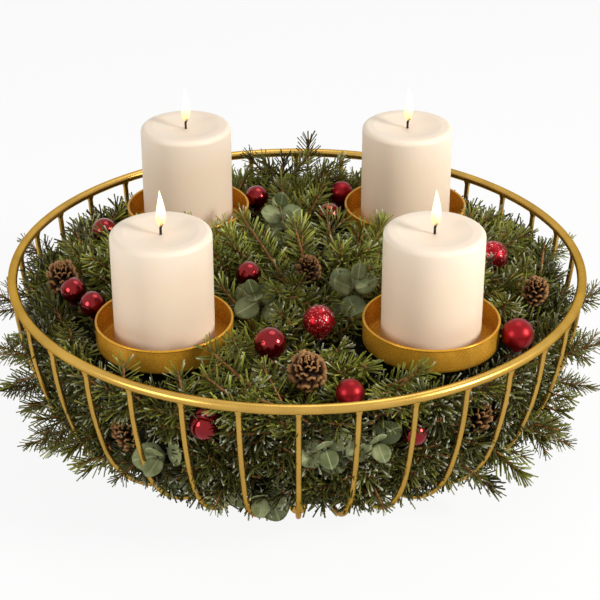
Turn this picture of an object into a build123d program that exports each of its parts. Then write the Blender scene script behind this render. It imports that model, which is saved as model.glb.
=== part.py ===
from build123d import *
import os
from math import atan2, cos, floor, hypot, pi, radians, sin, sqrt, tan

# Advent candle holder: a gold wire bowl with four candle cups, filled with decorated fir greenery.
# Lengths are millimetres and angles degrees. The origin is on the floor at the middle of the base,
# +Z is up and the front faces -Y. Plan angles start at the front and grow towards +X.

# Candles
CANDLE_DIAMETER = 70.0
CANDLE_HEIGHT = 84.0
CANDLE_EDGE = 4.0            # rounding of the top edge
MELT_RADIUS = 26.0           # pool around the wick
MELT_DEPTH = 2.5
WICK_DIAMETER = 1.8
WICK_RISE = 8.0              # above the pool
WICK_ROOT = 14.0             # below the pool
WICK_LEAN = 1.6              # how far the burnt tip leans over
WICK_STRAIGHT_SHARE = 0.5    # share of the rise that stands straight
FLAME_HEIGHT = 24.0
FLAME_WIDTH = 7.6
FLAME_POINT = 0.5            # blunt point's diameter
FLAME_GAP = 0.1              # between the wick's tip and the flame
LIFT_GAP = 0.1               # between a candle's flat base and the cup's floor

# Cups, spikes and stems
CUP_ROOM = 11.6              # free space round a candle in its cup
FRONT_SPACING = 185.6        # between the centres of the two front cups
BACK_SPACING = 172.0
ROW_SPACING = 190.0          # between the front and back rows
CUP_WALL = 1.2
CUP_HEIGHT = 18.0
CUP_CORNER = 3.0             # outer rounding at the floor
CUP_DROP = 14.0              # underside of a cup below the top ring's centre line
LIP_BEAD = 2.0               # rolled lip's diameter
FLOOR_BEAD = 1.0             # thickness of the raised ring on a cup's floor
FLOOR_BEAD_INSET = 2.6       # from the wall to the middle of that ring
SPIKE_DIAMETER = 5.0
SPIKE_HEIGHT = 24.0
SPIKE_TIP = 0.8
SPIKE_ROOM = 0.5             # round the spike in the candle
SHANK_DIAMETER = 3.0
SHANK_LENGTH = 12.0
SHANK_FIT = 0.05
STEM_ROD = 5.0
STEM_BEND = 8.0
STEM_KNEE = 10.0             # where a stem bends, above the base ring's centre line
STEM_SETBACK = 20.8          # front stems' centre lines outside the base ring's
FLANGE_DIAMETER = 18.0
FLANGE_THICKNESS = 2.0

# Wire bowl
RING_ROD = 7.0
BASE_ROD = 6.0
RIM_GAP = 29.0               # between a front cup's lip and the top ring's centre line
BOWL_DEPTH = 131.0           # between the centre lines of the two rings
RIB_COUNT = 34
RIB_WIRE = 4.0
RIB_LEAN = 2.0
RIB_BEND_SHARE = 0.918       # lower bend's radius over the reach from base ring to top ring
WELD_FLARE = 1.3
WELD_HEIGHT = 3.0
FOOT_COUNT = 4
FOOT_DIAMETER = 14.0
FOOT_FLAT = 0.4              # flat at the floor
FOOT_WELD = 0.6              # how far the base ring is let into a ball

# Fir greenery
BED_INSET = 7.0              # bed's side inside the ribs' centre line
BED_EDGE_DROP = 22.0         # bed's edge below the top ring
BED_CROWN = 6.0
BED_SEAT = 0.1
STEM_ROOM = 0.4              # round the stems in the bed
TIP_LENGTH = 44.0
TIP_REACH = 10.0             # needles' reach to each side
TIP_STEM = 2.4
TIP_BARE = 4.0               # stem without needles above the bed
TIP_ROWS = 7
TIP_SEAT = 0.3               # between a tip's cut end and the bed
NEEDLE_THICKNESS = 1.2
NEEDLE_RISE = 6.5
TIP_FADE_SHARE = 0.45        # how much the needles shorten towards the point
TIP_TRIES = 420
TIP_RISES = (40.0, 47.0, 54.0)
TIP_SWING = 75.0
GOLDEN_ANGLE = 137.508
GREEN_GAP = 1.0              # least space kept between pieces of the greenery
OUTER_DROP_SHARES = (0.33, 0.62)
OUTER_RISES = (32.0, -5.0)
OUTER_SLOPE = 60.0           # between an outer tip and the bed's side
OUTER_LENGTH_SHARE = 0.72
UPPER_FIRST_ANGLE = 60.0
UPPER_LAST_ANGLE = 120.0
CREST_ANGLES = (130.0, 177.0)
CREST_RADIUS_SHARE = 0.84
CREST_RISE = 66.0

# Baubles
LARGE_BAUBLE = 22.5
SMALL_BAUBLE = 19.0
BAUBLE_WALL = 0.8
NECK_DIAMETER = 6.0
NECK_LENGTH = 2.5
CAP_WALL = 0.5
CAP_FIT = 0.05
PICK_WIRE = 1.2
PICK_DEPTH = 12.0            # how far a pick goes into the bed
PICK_ROOM = 0.1
POCKET_ROOM = 0.5
SIDE_ROOM = 1.0              # between side decorations and the ribs
SIDE_PICK_FALL = 30.0
# Large or small, then the place in plan as shares of the top ring's radius and the rise above the
# ring's centre line as a share of the bowl's depth
TOP_BAUBLE_SHARES = (
    ("small", -0.77, -0.21, 0.00),
    ("small", -0.695, -0.30, -0.01),
    ("small", -0.71, 0.27, 0.00),
    ("small", -0.16, 0.56, 0.00),
    ("small", -0.17, -0.14, 0.04),
    ("small", 0.19, 0.59, 0.00),
    ("small", 0.12, 0.40, 0.00),
    ("large", -0.09, -0.62, 0.03),
    ("large", 0.07, -0.47, 0.03),
    ("small", 0.16, -0.87, -0.03),
    ("large", 0.72, -0.52, -0.01),
    ("large", 0.70, 0.05, 0.00),
)
# Large or small, plan angle, and the drop below the ring as a share of the bowl's depth
SIDE_BAUBLE_SHARES = (
    ("large", -18.5, 0.21),
    ("small", 23.5, 0.29),
)

# Pine cones
CONE_DIAMETER = 22.0
CONE_LENGTH = 28.0
CONE_TIERS = 6
CONE_LOBES = 7
CONE_SCALE = 2.2             # thickness of a tier of scales
CONE_TILT = 35.0
CONE_CORE_SHARE = 0.25
CONE_TIER_SHARES = (0.72, 1.0, 0.98, 0.86, 0.66, 0.42)
SCALE_VALLEY_SHARE = 0.66
SCALE_SHOULDER_SHARE = 0.94
SCALE_WIDTH_SHARE = 0.28     # from a scale's middle to its shoulder, over the space for one scale
# Plan place as shares of the ring's radius, rise as a share of the bowl's depth, and size
TOP_CONE_SHARES = (
    (-0.82, -0.07, -0.10, 1.2),
    (0.04, -0.04, -0.06, 0.95),
    (0.03, -0.73, -0.10, 1.3),
    (0.82, -0.17, -0.10, 1.0),
)
# Plan angle, drop below the ring as a share of the bowl's depth, and size
SIDE_CONE_SHARES = (
    (-40.0, 0.46, 1.05),
    (41.0, 0.36, 1.05),
)

# Eucalyptus sprigs
LEAF_DIAMETER = 16.5
LEAF_THICKNESS = 0.8
LEAF_PAIRS = 3
LEAF_TILT = 38.0
LEAF_TURN = 80.0             # between one pair and the next
EUCALYPTUS_LENGTH = 34.0
EUCALYPTUS_STEM = 1.8
TWIG_SIDES = 6
EUCALYPTUS_ROOT = 9.0
FIRST_PAIR_SHARE = 0.42
LAST_PAIR_SHARE = 0.86
# Root in plan as shares of the ring's radius, then heading and rise
TOP_EUCALYPTUS = (
    (-0.03, 0.24, 200.0, 58.0),
    (-0.09, -0.26, -30.0, 50.0),
    (0.14, -0.20, 40.0, 55.0),
)
# Plan angle, drop as a share of the bowl's depth, and rise
SIDE_EUCALYPTUS = (
    (-29.0, 0.47, 12.0),
    (-8.0, 0.66, 0.0),
    (5.0, 0.27, 14.0),
    (15.0, 0.27, 10.0),
)

OVERRUN = 5.0                # extra length of every cutting shape

# Sizes worked out from the ones above
CUP_INNER = CANDLE_DIAMETER / 2 + CUP_ROOM
CUP_OUTER = CUP_INNER + CUP_WALL
CUP_REACH = CUP_INNER + CUP_WALL / 2 + LIP_BEAD / 2
CUP_CENTRES = {
    "front_left": (-FRONT_SPACING / 2, -ROW_SPACING / 2),
    "front_right": (FRONT_SPACING / 2, -ROW_SPACING / 2),
    "back_left": (-BACK_SPACING / 2, ROW_SPACING / 2),
    "back_right": (BACK_SPACING / 2, ROW_SPACING / 2),
}
FRONT_RADIUS = hypot(FRONT_SPACING, ROW_SPACING) / 2
BASE_RADIUS = FRONT_RADIUS - STEM_SETBACK
RING_RADIUS = FRONT_RADIUS + CUP_REACH + RIM_GAP
BASE_Z = FOOT_DIAMETER - FOOT_FLAT - FOOT_WELD + BASE_ROD / 2
RING_Z = BASE_Z + BOWL_DEPTH
CUP_Z = RING_Z - CUP_DROP
CANDLE_Z = CUP_Z + CUP_WALL + LIFT_GAP
MELT_Z = CANDLE_Z + CANDLE_HEIGHT - MELT_DEPTH
WICK_Z = MELT_Z + WICK_RISE
WICK_TOP_Z = WICK_Z + WICK_DIAMETER / 2
BED_FLOOR_Z = BASE_Z + BASE_ROD / 2 + BED_SEAT
BED_EDGE_Z = RING_Z - BED_EDGE_DROP
BED_TOP_Z = BED_EDGE_Z + BED_CROWN
LEAF_REACH = LEAF_DIAMETER * cos(radians(LEAF_TILT)) + LEAF_THICKNESS
LEAF_TOP = EUCALYPTUS_LENGTH * LAST_PAIR_SHARE + LEAF_DIAMETER * sin(radians(LEAF_TILT)) + LEAF_THICKNESS
RADII = {"large": LARGE_BAUBLE / 2, "small": SMALL_BAUBLE / 2}

# The ribs' curve: a lower bend that meets the base ring level, and a wide upper arc tangent to it
LOW_BEND = RIB_BEND_SHARE * (RING_RADIUS - BASE_RADIUS)
LOW_CENTRE = Vector(BASE_RADIUS, 0, BASE_Z + LOW_BEND)
RIB_TOP = Vector(RING_RADIUS, 0, RING_Z)
INWARD = Vector(-cos(radians(RIB_LEAN)), 0, sin(radians(RIB_LEAN)))
REACH = RIB_TOP - LOW_CENTRE
HIGH_BEND = (LOW_BEND**2 - REACH.length**2) / (2 * (REACH.dot(INWARD) + LOW_BEND))
HIGH_CENTRE = RIB_TOP + INWARD * HIGH_BEND
JOIN_WAY = (LOW_CENTRE - HIGH_CENTRE).normalized()


def bowl_radius(z, inset=0.0):
    """Radius of the ribs' centre line at a height, less an inset square to the wall."""
    if z <= LOW_CENTRE.Z + (LOW_BEND - inset) * JOIN_WAY.Z:
        centre, bend = LOW_CENTRE, LOW_BEND - inset
    else:
        centre, bend = HIGH_CENTRE, HIGH_BEND - inset
    return centre.X + sqrt(bend**2 - (z - centre.Z) ** 2)


def bowl_arcs(inset, top_z):
    """The wall's two arcs, from its top down to the level of the base, in the XZ plane."""
    top = Vector(bowl_radius(top_z, inset), 0, top_z)
    join = LOW_CENTRE + JOIN_WAY * (LOW_BEND - inset)
    bottom = LOW_CENTRE - Vector(0, 0, LOW_BEND - inset)
    high_way = ((top - HIGH_CENTRE).normalized() + JOIN_WAY).normalized()
    low_way = (JOIN_WAY - Vector(0, 0, 1)).normalized()
    high = ThreePointArc(top, HIGH_CENTRE + high_way * (HIGH_BEND - inset), join)
    low = ThreePointArc(join, LOW_CENTRE + low_way * (LOW_BEND - inset), bottom)
    return [high, low]


BED_RADIUS = bowl_radius(BED_EDGE_Z, BED_INSET)
DOME_RADIUS = (BED_RADIUS**2 + BED_CROWN**2) / (2 * BED_CROWN)


def bed_height(radius):
    """Height of the bed's domed top at a radius."""
    return BED_TOP_Z - DOME_RADIUS + sqrt(DOME_RADIUS**2 - radius**2)


def polar(angle, radius, z):
    """Point at a plan angle from the front."""
    return Vector(radius * sin(radians(angle)), -radius * cos(radians(angle)), z)


def plan_angle(point):
    """Plan angle of a point from the front."""
    return Vector(0, -1, 0).get_signed_angle(Vector(point.X, point.Y, 0), Vector(0, 0, 1))


def heading(angle, rise):
    """Direction at a plan angle, rising above the level."""
    return polar(angle, cos(radians(rise)), sin(radians(rise)))


def turned(shape, angle):
    """A shape built over the +X axis, turned to a plan angle."""
    return Rot(0, 0, angle - 90) * shape


def aimed(shape, root, way):
    """A shape built along +Z, set on a root and aimed along a direction."""
    return Plane(origin=root, z_dir=way).location * shape


def rod(start, end, radius):
    """Round rod between two points."""
    way = end - start
    upright = Cylinder(radius, way.length, align=(Align.CENTER, Align.CENTER, Align.MIN))
    return aimed(upright, start, way)


def standing(radius, height, x=0.0, y=0.0, z=0.0):
    """Upright cylinder that stands on a height."""
    return Pos(x, y, z) * Cylinder(radius, height, align=(Align.CENTER, Align.CENTER, Align.MIN))


def wire_along(edges, radius):
    """Round wire swept along edges that meet smoothly, in one plane."""
    path = Wire(edges)
    section = Plane(origin=path @ 0, z_dir=path % 0) * Circle(radius)
    return sweep(section, path=path)


def save(name, shapes):
    """Write one node, as one solid or as a group of separate solids."""
    solids = [solid for shape in shapes for solid in shape.solids()]
    node = solids[0] if len(solids) == 1 else Compound(children=solids)
    export_step(node, f"parts/{name}.step")


# Wire bowl
def top_ring():
    return Pos(0, 0, RING_Z) * Torus(RING_RADIUS, RING_ROD / 2)


def base_ring():
    return Pos(0, 0, BASE_Z) * Torus(BASE_RADIUS, BASE_ROD / 2)


def ribs():
    """Ribs coped to both rings, each with a flared weld under the top ring."""
    wire = wire_along(bowl_arcs(0.0, RING_Z), RIB_WIRE / 2)
    weld_base = RING_Z - RING_ROD / 2 - WELD_HEIGHT
    weld = Pos(RING_RADIUS, 0, weld_base) * Cone(
        RIB_WIRE / 2,
        RIB_WIRE / 2 + WELD_FLARE,
        WELD_HEIGHT + RING_ROD / 4,
        align=(Align.CENTER, Align.CENTER, Align.MIN),
    )
    rib = wire + weld - top_ring() - base_ring()
    return [turned(rib, k * 360 / RIB_COUNT) for k in range(RIB_COUNT)]


def ball_feet():
    """Balls coped under the base ring, each with a small flat on the floor."""
    ball = Pos(BASE_RADIUS, 0, FOOT_DIAMETER / 2 - FOOT_FLAT) * Sphere(FOOT_DIAMETER / 2)
    below = Pos(BASE_RADIUS, 0, 0) * Box(
        FOOT_DIAMETER, FOOT_DIAMETER, FOOT_DIAMETER, align=(Align.CENTER, Align.CENTER, Align.MAX)
    )
    foot = ball - below - base_ring()
    return [turned(foot, k * 360 / FOOT_COUNT) for k in range(FOOT_COUNT)]


# Cups, spikes and stems
def stem_rod(x, y, radius):
    """Bent rod from a cup down to the base ring, which it meets midway between two ribs."""
    pitch = 360 / RIB_COUNT
    gap = floor(plan_angle(Vector(x, y, 0)) / pitch)
    foot = polar((gap + 1 / 2) * pitch, BASE_RADIUS, BASE_Z)
    path = FilletPolyline((x, y, CUP_Z), (x, y, BASE_Z + STEM_KNEE), foot, radius=STEM_BEND)
    return wire_along(path.edges(), radius)


def stem(x, y):
    """Stem with the flange that carries a cup and the bore that takes its spike's shank."""
    flange = standing(FLANGE_DIAMETER / 2, FLANGE_THICKNESS, x, y, CUP_Z - FLANGE_THICKNESS)
    bore = standing(SHANK_DIAMETER / 2 + SHANK_FIT, SHANK_LENGTH + OVERRUN, x, y, CUP_Z - SHANK_LENGTH)
    return stem_rod(x, y, STEM_ROD / 2) + flange - bore - base_ring()


def cup(x, y):
    """Round cup with a rolled lip, a raised ring on its floor and a hole for the spike's shank."""
    body = standing(CUP_OUTER, CUP_HEIGHT)
    body = fillet(body.edges().group_by(Axis.Z)[0], CUP_CORNER)
    body -= standing(CUP_INNER, CUP_HEIGHT, 0, 0, CUP_WALL)
    body += Pos(0, 0, CUP_HEIGHT) * Torus(CUP_INNER + CUP_WALL / 2, LIP_BEAD / 2)
    body += Pos(0, 0, CUP_WALL) * Torus(CUP_INNER - FLOOR_BEAD_INSET, FLOOR_BEAD / 2)
    body -= standing(SHANK_DIAMETER / 2 + SHANK_FIT, CUP_HEIGHT)
    return Pos(x, y, CUP_Z) * body


def spike(x, y):
    """Pointed spike on the cup's floor, with a shank that screws into the stem."""
    point = Cone(
        SPIKE_DIAMETER / 2, SPIKE_TIP / 2, SPIKE_HEIGHT, align=(Align.CENTER, Align.CENTER, Align.MIN)
    )
    shank_length = SHANK_LENGTH + CUP_WALL
    shank = standing(SHANK_DIAMETER / 2, shank_length, 0, 0, -shank_length)
    return Pos(x, y, CUP_Z + CUP_WALL) * (point + shank)


# Candles
def candle(x, y):
    """Pillar candle with a rounded edge, a melted pool, a wick channel and a hole for the spike."""
    body = standing(CANDLE_DIAMETER / 2, CANDLE_HEIGHT)
    body = fillet(body.edges().group_by(Axis.Z)[-1], CANDLE_EDGE)
    pool_bend = (MELT_RADIUS**2 + MELT_DEPTH**2) / (2 * MELT_DEPTH)
    body -= Pos(0, 0, CANDLE_HEIGHT - MELT_DEPTH + pool_bend) * Sphere(pool_bend)
    wick_bottom = CANDLE_HEIGHT - MELT_DEPTH - WICK_ROOT
    body -= standing(WICK_DIAMETER / 2, WICK_ROOT + OVERRUN, 0, 0, wick_bottom)
    body -= standing(SPIKE_DIAMETER / 2 + SPIKE_ROOM, SPIKE_HEIGHT + SPIKE_ROOM + LIFT_GAP)
    return Pos(x, y, CANDLE_Z) * body


def wick(x, y):
    """Braided wick, straight in the wax and bent over at its burnt tip."""
    bend_z = MELT_Z + WICK_RISE * WICK_STRAIGHT_SHARE
    upright = Line((0, 0, MELT_Z - WICK_ROOT), (0, 0, bend_z))
    tip = TangentArc((0, 0, bend_z), (WICK_LEAN, 0, WICK_Z), tangent=(0, 0, 1))
    return Pos(x, y, 0) * wire_along([upright, tip], WICK_DIAMETER / 2)


def flame(x, y):
    """Pointed flame, round below, that stands on the wick's tip."""
    radius = FLAME_WIDTH / 2
    base = Vector(0, 0, WICK_TOP_Z + FLAME_GAP)
    belly = base + Vector(radius, 0, radius)
    top = base + Vector(0, 0, FLAME_HEIGHT)
    point = top + Vector(FLAME_POINT / 2, 0, 0)
    low_middle = base + Vector(radius / sqrt(2), 0, radius - radius / sqrt(2))
    rise = FLAME_HEIGHT - radius
    taper = radius - FLAME_POINT / 2
    bend = (taper**2 + rise**2) / (2 * taper)
    half_turn = atan2(rise, bend - taper) / 2
    high_middle = belly + Vector(-bend * (1 - cos(half_turn)), 0, bend * sin(half_turn))
    edges = [
        ThreePointArc(base, low_middle, belly),
        ThreePointArc(belly, high_middle, point),
        Line(point, top),
        Line(top, base),
    ]
    return Pos(x, y, 0) * revolve(make_face(edges), Axis.Z)


# Decorations: where each one goes
keep_out = []


def span_gap(point, start, end):
    """Distance from a point to the line between two points."""
    way = end - start
    share = 0.0 if way.length == 0 else (point - start).dot(way) / way.length**2
    return (start + way * min(1.0, max(0.0, share)) - point).length


def clear_of_cups(point, reach):
    """Move a place in plan straight away from a cup until it clears the cup's lip."""
    for x, y in CUP_CENTRES.values():
        away = Vector(point.X - x, point.Y - y, 0)
        least = CUP_REACH + reach + GREEN_GAP
        if away.length < least:
            point = point + away.normalized() * (least - away.length)
    return point


def is_clear(start, end, reach):
    """Whether a straight sprig clears the bowl's ring and ribs, the cups and the other pieces."""
    steps = TIP_ROWS
    for step in range(steps + 1):
        point = start + (end - start) * (step / steps)
        if point.Z < RING_Z + RING_ROD / 2 + reach + GREEN_GAP:
            wall = bowl_radius(min(point.Z, RING_Z)) - RING_ROD / 2
            if hypot(point.X, point.Y) + reach + GREEN_GAP > wall:
                return False
        for low, high, radius in keep_out:
            if span_gap(point, low, high) < radius + reach + GREEN_GAP:
                return False
    return True


def top_place(x_share, y_share, z_share, reach):
    """Place over the bed, clear of the cups."""
    point = Vector(x_share * RING_RADIUS, y_share * RING_RADIUS, RING_Z + z_share * BOWL_DEPTH)
    return clear_of_cups(point, reach)


def side_place(angle, drop_share, reach):
    """Place just inside the ribs, below the top ring."""
    z = RING_Z - drop_share * BOWL_DEPTH
    return polar(angle, bowl_radius(z, RIB_WIRE / 2 + reach + SIDE_ROOM), z)


# Baubles
def bauble_places():
    """Centre, radius and pick direction of every bauble."""
    places = []
    for size, x_share, y_share, z_share in TOP_BAUBLE_SHARES:
        places.append((top_place(x_share, y_share, z_share, RADII[size]), RADII[size], Vector(0, 0, -1)))
    for size, angle, drop_share in SIDE_BAUBLE_SHARES:
        way = heading(angle + 180, -SIDE_PICK_FALL)
        places.append((side_place(angle, drop_share, RADII[size]), RADII[size], way))
    return places


def bauble(centre, radius, way):
    """Thin hollow ball with a short open neck towards its pick."""
    neck_end = radius + NECK_LENGTH
    ball = Sphere(radius) + standing(NECK_DIAMETER / 2, neck_end)
    inner = Sphere(radius - BAUBLE_WALL)
    inner += standing(NECK_DIAMETER / 2 - BAUBLE_WALL, neck_end + OVERRUN)
    return aimed(ball - inner, centre, way)


def pick_length(centre, radius, way):
    """Length of a pick from a bauble's neck until it is well into the bed."""
    start = radius + NECK_LENGTH
    if way.X == 0 and way.Y == 0:
        return centre.Z - start - bed_height(hypot(centre.X, centre.Y)) + PICK_DEPTH
    return BED_INSET + PICK_DEPTH


def bauble_pick(centre, radius, way):
    """Cap over a bauble's neck with the wire that goes into the bed."""
    cap_radius = NECK_DIAMETER / 2 + CAP_FIT + CAP_WALL
    neck_end = radius + NECK_LENGTH
    cap = standing(cap_radius, NECK_LENGTH / 2 + CAP_WALL, 0, 0, neck_end - NECK_LENGTH / 2)
    cap -= standing(NECK_DIAMETER / 2 + CAP_FIT, NECK_LENGTH / 2, 0, 0, neck_end - NECK_LENGTH / 2)
    wire = standing(PICK_WIRE / 2, pick_length(centre, radius, way), 0, 0, neck_end)
    return aimed(cap + wire, centre, way)


def bauble_pocket(centre, radius, way):
    """Space that a bauble, its cap and its pick take up in the bed."""
    cap_radius = NECK_DIAMETER / 2 + CAP_FIT + CAP_WALL + POCKET_ROOM
    neck_end = radius + NECK_LENGTH
    pick = standing(PICK_WIRE / 2 + PICK_ROOM, neck_end + pick_length(centre, radius, way) + PICK_ROOM)
    cap = standing(cap_radius, neck_end + CAP_WALL + POCKET_ROOM)
    return aimed(Sphere(radius + POCKET_ROOM) + cap + pick, centre, way)


# Pine cones
def cone(base, way, size):
    """Pine cone: a core with tiers of rounded scales, set off by half a scale."""
    length = CONE_LENGTH * size
    body = extrude(RegularPolygon(CONE_DIAMETER / 2 * CONE_CORE_SHARE, CONE_LOBES), length)
    pitch = (length - CONE_SCALE) / CONE_TIERS
    lobe = 2 * pi / CONE_LOBES
    for tier, share in enumerate(CONE_TIER_SHARES):
        radius = CONE_DIAMETER / 2 * size * share
        points = []
        for k in range(CONE_LOBES):
            middle = lobe * (k + tier / 2)
            for turn, reach_share in (
                (-1 / 2, SCALE_VALLEY_SHARE),
                (-SCALE_WIDTH_SHARE, SCALE_SHOULDER_SHARE),
                (0, 1),
                (SCALE_WIDTH_SHARE, SCALE_SHOULDER_SHARE),
            ):
                angle = middle + lobe * turn
                points.append((radius * reach_share * cos(angle), radius * reach_share * sin(angle)))
        outline = make_face(Polyline(*points, close=True))
        body += Pos(0, 0, pitch * (tier + 1 / 2)) * extrude(outline, CONE_SCALE)
    return aimed(body, base, way)


def cone_places():
    """Base point, axis and size of every pine cone."""
    places = []
    for x_share, y_share, z_share, size in TOP_CONE_SHARES:
        base = top_place(x_share, y_share, z_share, CONE_DIAMETER / 2 * size)
        places.append((base, heading(0, 90 - CONE_TILT), size))
    for angle, drop_share, size in SIDE_CONE_SHARES:
        way = heading(angle, 90 - CONE_TILT)
        middle = side_place(angle, drop_share, CONE_DIAMETER / 2 * size)
        places.append((middle - way * (CONE_LENGTH / 2 * size), way, size))
    return places


def cone_pick(base, way, room=0.0):
    """Wire from a cone's base into the bed."""
    depth = max(PICK_DEPTH, (base.Z - bed_height(hypot(base.X, base.Y))) / way.Z + PICK_DEPTH)
    return rod(base, base - way * (depth + room), PICK_WIRE / 2 + room)


def cone_pocket(base, way, size):
    """Space that a cone and its wire take up in the bed."""
    radius = CONE_DIAMETER / 2 * size + POCKET_ROOM
    body = rod(base - way * POCKET_ROOM, base + way * (CONE_LENGTH * size + POCKET_ROOM), radius)
    return body + cone_pick(base, way, PICK_ROOM)


# Eucalyptus
def eucalyptus_template():
    """Sprig along +Z with pairs of round leaves and one leaf at its point."""
    twig = extrude(RegularPolygon(EUCALYPTUS_STEM / 2, TWIG_SIDES), EUCALYPTUS_LENGTH + EUCALYPTUS_ROOT)
    body = Pos(0, 0, -EUCALYPTUS_ROOT) * twig
    leaf = Pos(LEAF_DIAMETER / 2, 0, 0) * Cylinder(LEAF_DIAMETER / 2, LEAF_THICKNESS)
    step = (LAST_PAIR_SHARE - FIRST_PAIR_SHARE) / (LEAF_PAIRS - 1)
    for pair in range(LEAF_PAIRS):
        height = EUCALYPTUS_LENGTH * (FIRST_PAIR_SHARE + step * pair)
        for side in (0, 180):
            body += Pos(0, 0, height) * Rot(0, 0, LEAF_TURN * pair + side) * Rot(0, -LEAF_TILT, 0) * leaf
    return body


def eucalyptus_places():
    """Root at the bed's surface and direction of every eucalyptus sprig."""
    places = []
    for x_share, y_share, angle, rise in TOP_EUCALYPTUS:
        root = clear_of_cups(Vector(x_share * RING_RADIUS, y_share * RING_RADIUS, 0), LEAF_DIAMETER)
        root = Vector(root.X, root.Y, bed_height(hypot(root.X, root.Y)))
        places.append((root, heading(angle, rise)))
    for angle, drop_share, rise in SIDE_EUCALYPTUS:
        z = RING_Z - drop_share * BOWL_DEPTH
        way = heading(angle, rise)
        outer = polar(angle, bowl_radius(z, RIB_WIRE / 2 + SIDE_ROOM), z)
        places.append((outer - way * LEAF_TOP, way))
    return places


def eucalyptus_pocket(root, way):
    """Space that a sprig's stem and leaves take up in the bed."""
    stem_radius = EUCALYPTUS_STEM / 2 + PICK_ROOM
    stem_space = rod(root - way * (EUCALYPTUS_ROOT + PICK_ROOM), root + way * EUCALYPTUS_LENGTH, stem_radius)
    leaf_foot = EUCALYPTUS_LENGTH * FIRST_PAIR_SHARE - LEAF_THICKNESS - POCKET_ROOM
    leaf_space = rod(root + way * leaf_foot, root + way * (LEAF_TOP + POCKET_ROOM), LEAF_REACH + POCKET_ROOM)
    return stem_space + leaf_space


# Fir tips
def fir_tip_template(length):
    """Fir tip along +Z: a square stem with two crossed combs of forward-pointing needles."""
    body = extrude(Rectangle(TIP_STEM, TIP_STEM), length - NEEDLE_RISE)
    core = TIP_STEM / 4
    pitch = (length - TIP_BARE - NEEDLE_RISE) / TIP_ROWS
    side = []
    for row in range(TIP_ROWS):
        z = TIP_BARE + pitch * row
        reach = TIP_REACH * (1 - TIP_FADE_SHARE * row / (TIP_ROWS - 1))
        side.append((core, z))
        side.append((reach, z + NEEDLE_RISE))
    side.append((core, length - NEEDLE_RISE))
    mirrored = [(-x, z) for x, z in reversed(side)]
    outline = make_face(Polyline(*side, (0, length), *mirrored, close=True))
    comb = extrude(Plane.XZ * outline, NEEDLE_THICKNESS / 2, both=True)
    return body + comb + Rot(0, 0, 90) * comb


def seated(root, way, slope):
    """Root moved out until the corner of a tip's cut end just clears the bed."""
    corner = TIP_STEM / sqrt(2)
    return root + way * (corner / tan(radians(slope)) + TIP_SEAT / sin(radians(slope)))


def outer_tips():
    """Tips that reach out between the ribs, in a low row all round and a high row at the sides."""
    places = []
    pitch = 360 / RIB_COUNT
    length = TIP_LENGTH * OUTER_LENGTH_SHARE
    for gap in range(RIB_COUNT // 2):
        angle = (gap + 1 / 2) * pitch
        high = gap % 2 == 0
        if high and not UPPER_FIRST_ANGLE < angle < UPPER_LAST_ANGLE:
            continue
        z = RING_Z - OUTER_DROP_SHARES[0 if high else 1] * BOWL_DEPTH
        for side in (-1, 1):
            way = heading(side * angle, OUTER_RISES[0 if high else 1])
            root = seated(polar(side * angle, bowl_radius(z, BED_INSET), z), way, OUTER_SLOPE)
            if all(span_gap(root + way * length, *span[:2]) > span[2] + TIP_REACH for span in keep_out):
                places.append((root, way))
                keep_out.append((root, root + way * length, TIP_REACH))
    return places


def top_tips():
    """Tips over the bed: the crest at the back, then a spiral of tries that keeps what fits."""
    tries = [(angle, CREST_RADIUS_SHARE * RING_RADIUS, angle, CREST_RISE) for angle in CREST_ANGLES]
    for k in range(TIP_TRIES):
        angle = k * GOLDEN_ANGLE
        radius = BED_RADIUS * sqrt((k + 1 / 2) / TIP_TRIES)
        swing = TIP_SWING * sin(k)
        tries.append((angle, radius, angle + swing, TIP_RISES[k % len(TIP_RISES)]))
    dome_centre = Vector(0, 0, BED_TOP_Z - DOME_RADIUS)
    places = []
    for angle, radius, facing, rise in tries:
        way = heading(facing, rise)
        foot = polar(angle, radius, bed_height(radius))
        root = seated(foot, way, 90 - way.get_angle(foot - dome_centre))
        if is_clear(root + way * TIP_REACH, root + way * TIP_LENGTH, TIP_REACH):
            places.append((root, way))
            keep_out.append((root, root + way * TIP_LENGTH, TIP_REACH))
    return places


def fir_bed(cutters):
    """Packed greenery that fills the bowl and rests on the base ring."""
    high, low = bowl_arcs(BED_INSET, BED_EDGE_Z)
    edge = high @ 0
    foot = low @ 1
    crown = Vector(0, 0, BED_TOP_Z)
    half = BED_RADIUS / 2
    dome = ThreePointArc(crown, (half, 0, bed_height(half)), edge)
    step = Line(foot, (foot.X, 0, BED_FLOOR_Z))
    floor = Line((foot.X, 0, BED_FLOOR_Z), (0, 0, BED_FLOOR_Z))
    axis = Line((0, 0, BED_FLOOR_Z), crown)
    body = revolve(make_face([dome, high, low, step, floor, axis]), Axis.Z)
    return body.cut(*[solid for shape in cutters for solid in shape.solids()])


os.makedirs("parts", exist_ok=True)

save("top_ring", [top_ring()])
save("base_ring", [base_ring()])
save("ribs", ribs())
save("ball_feet", ball_feet())

bed_cutters = []
for name, (x, y) in CUP_CENTRES.items():
    save(f"stem_{name}", [stem(x, y)])
    save(f"cup_{name}", [cup(x, y)])
    save(f"candle_{name}", [candle(x, y)])
    save(f"wick_{name}", [wick(x, y)])
    save(f"flame_{name}", [flame(x, y)])
    bed_cutters.append(stem_rod(x, y, STEM_ROD / 2 + STEM_ROOM))
    keep_out.append((Vector(x, y, BED_FLOOR_Z), Vector(x, y, CUP_Z), STEM_ROD / 2))
    keep_out.append((Vector(x, y, CUP_Z), Vector(x, y, WICK_Z), CUP_REACH))
save("candle_spikes", [spike(x, y) for x, y in CUP_CENTRES.values()])

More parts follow.
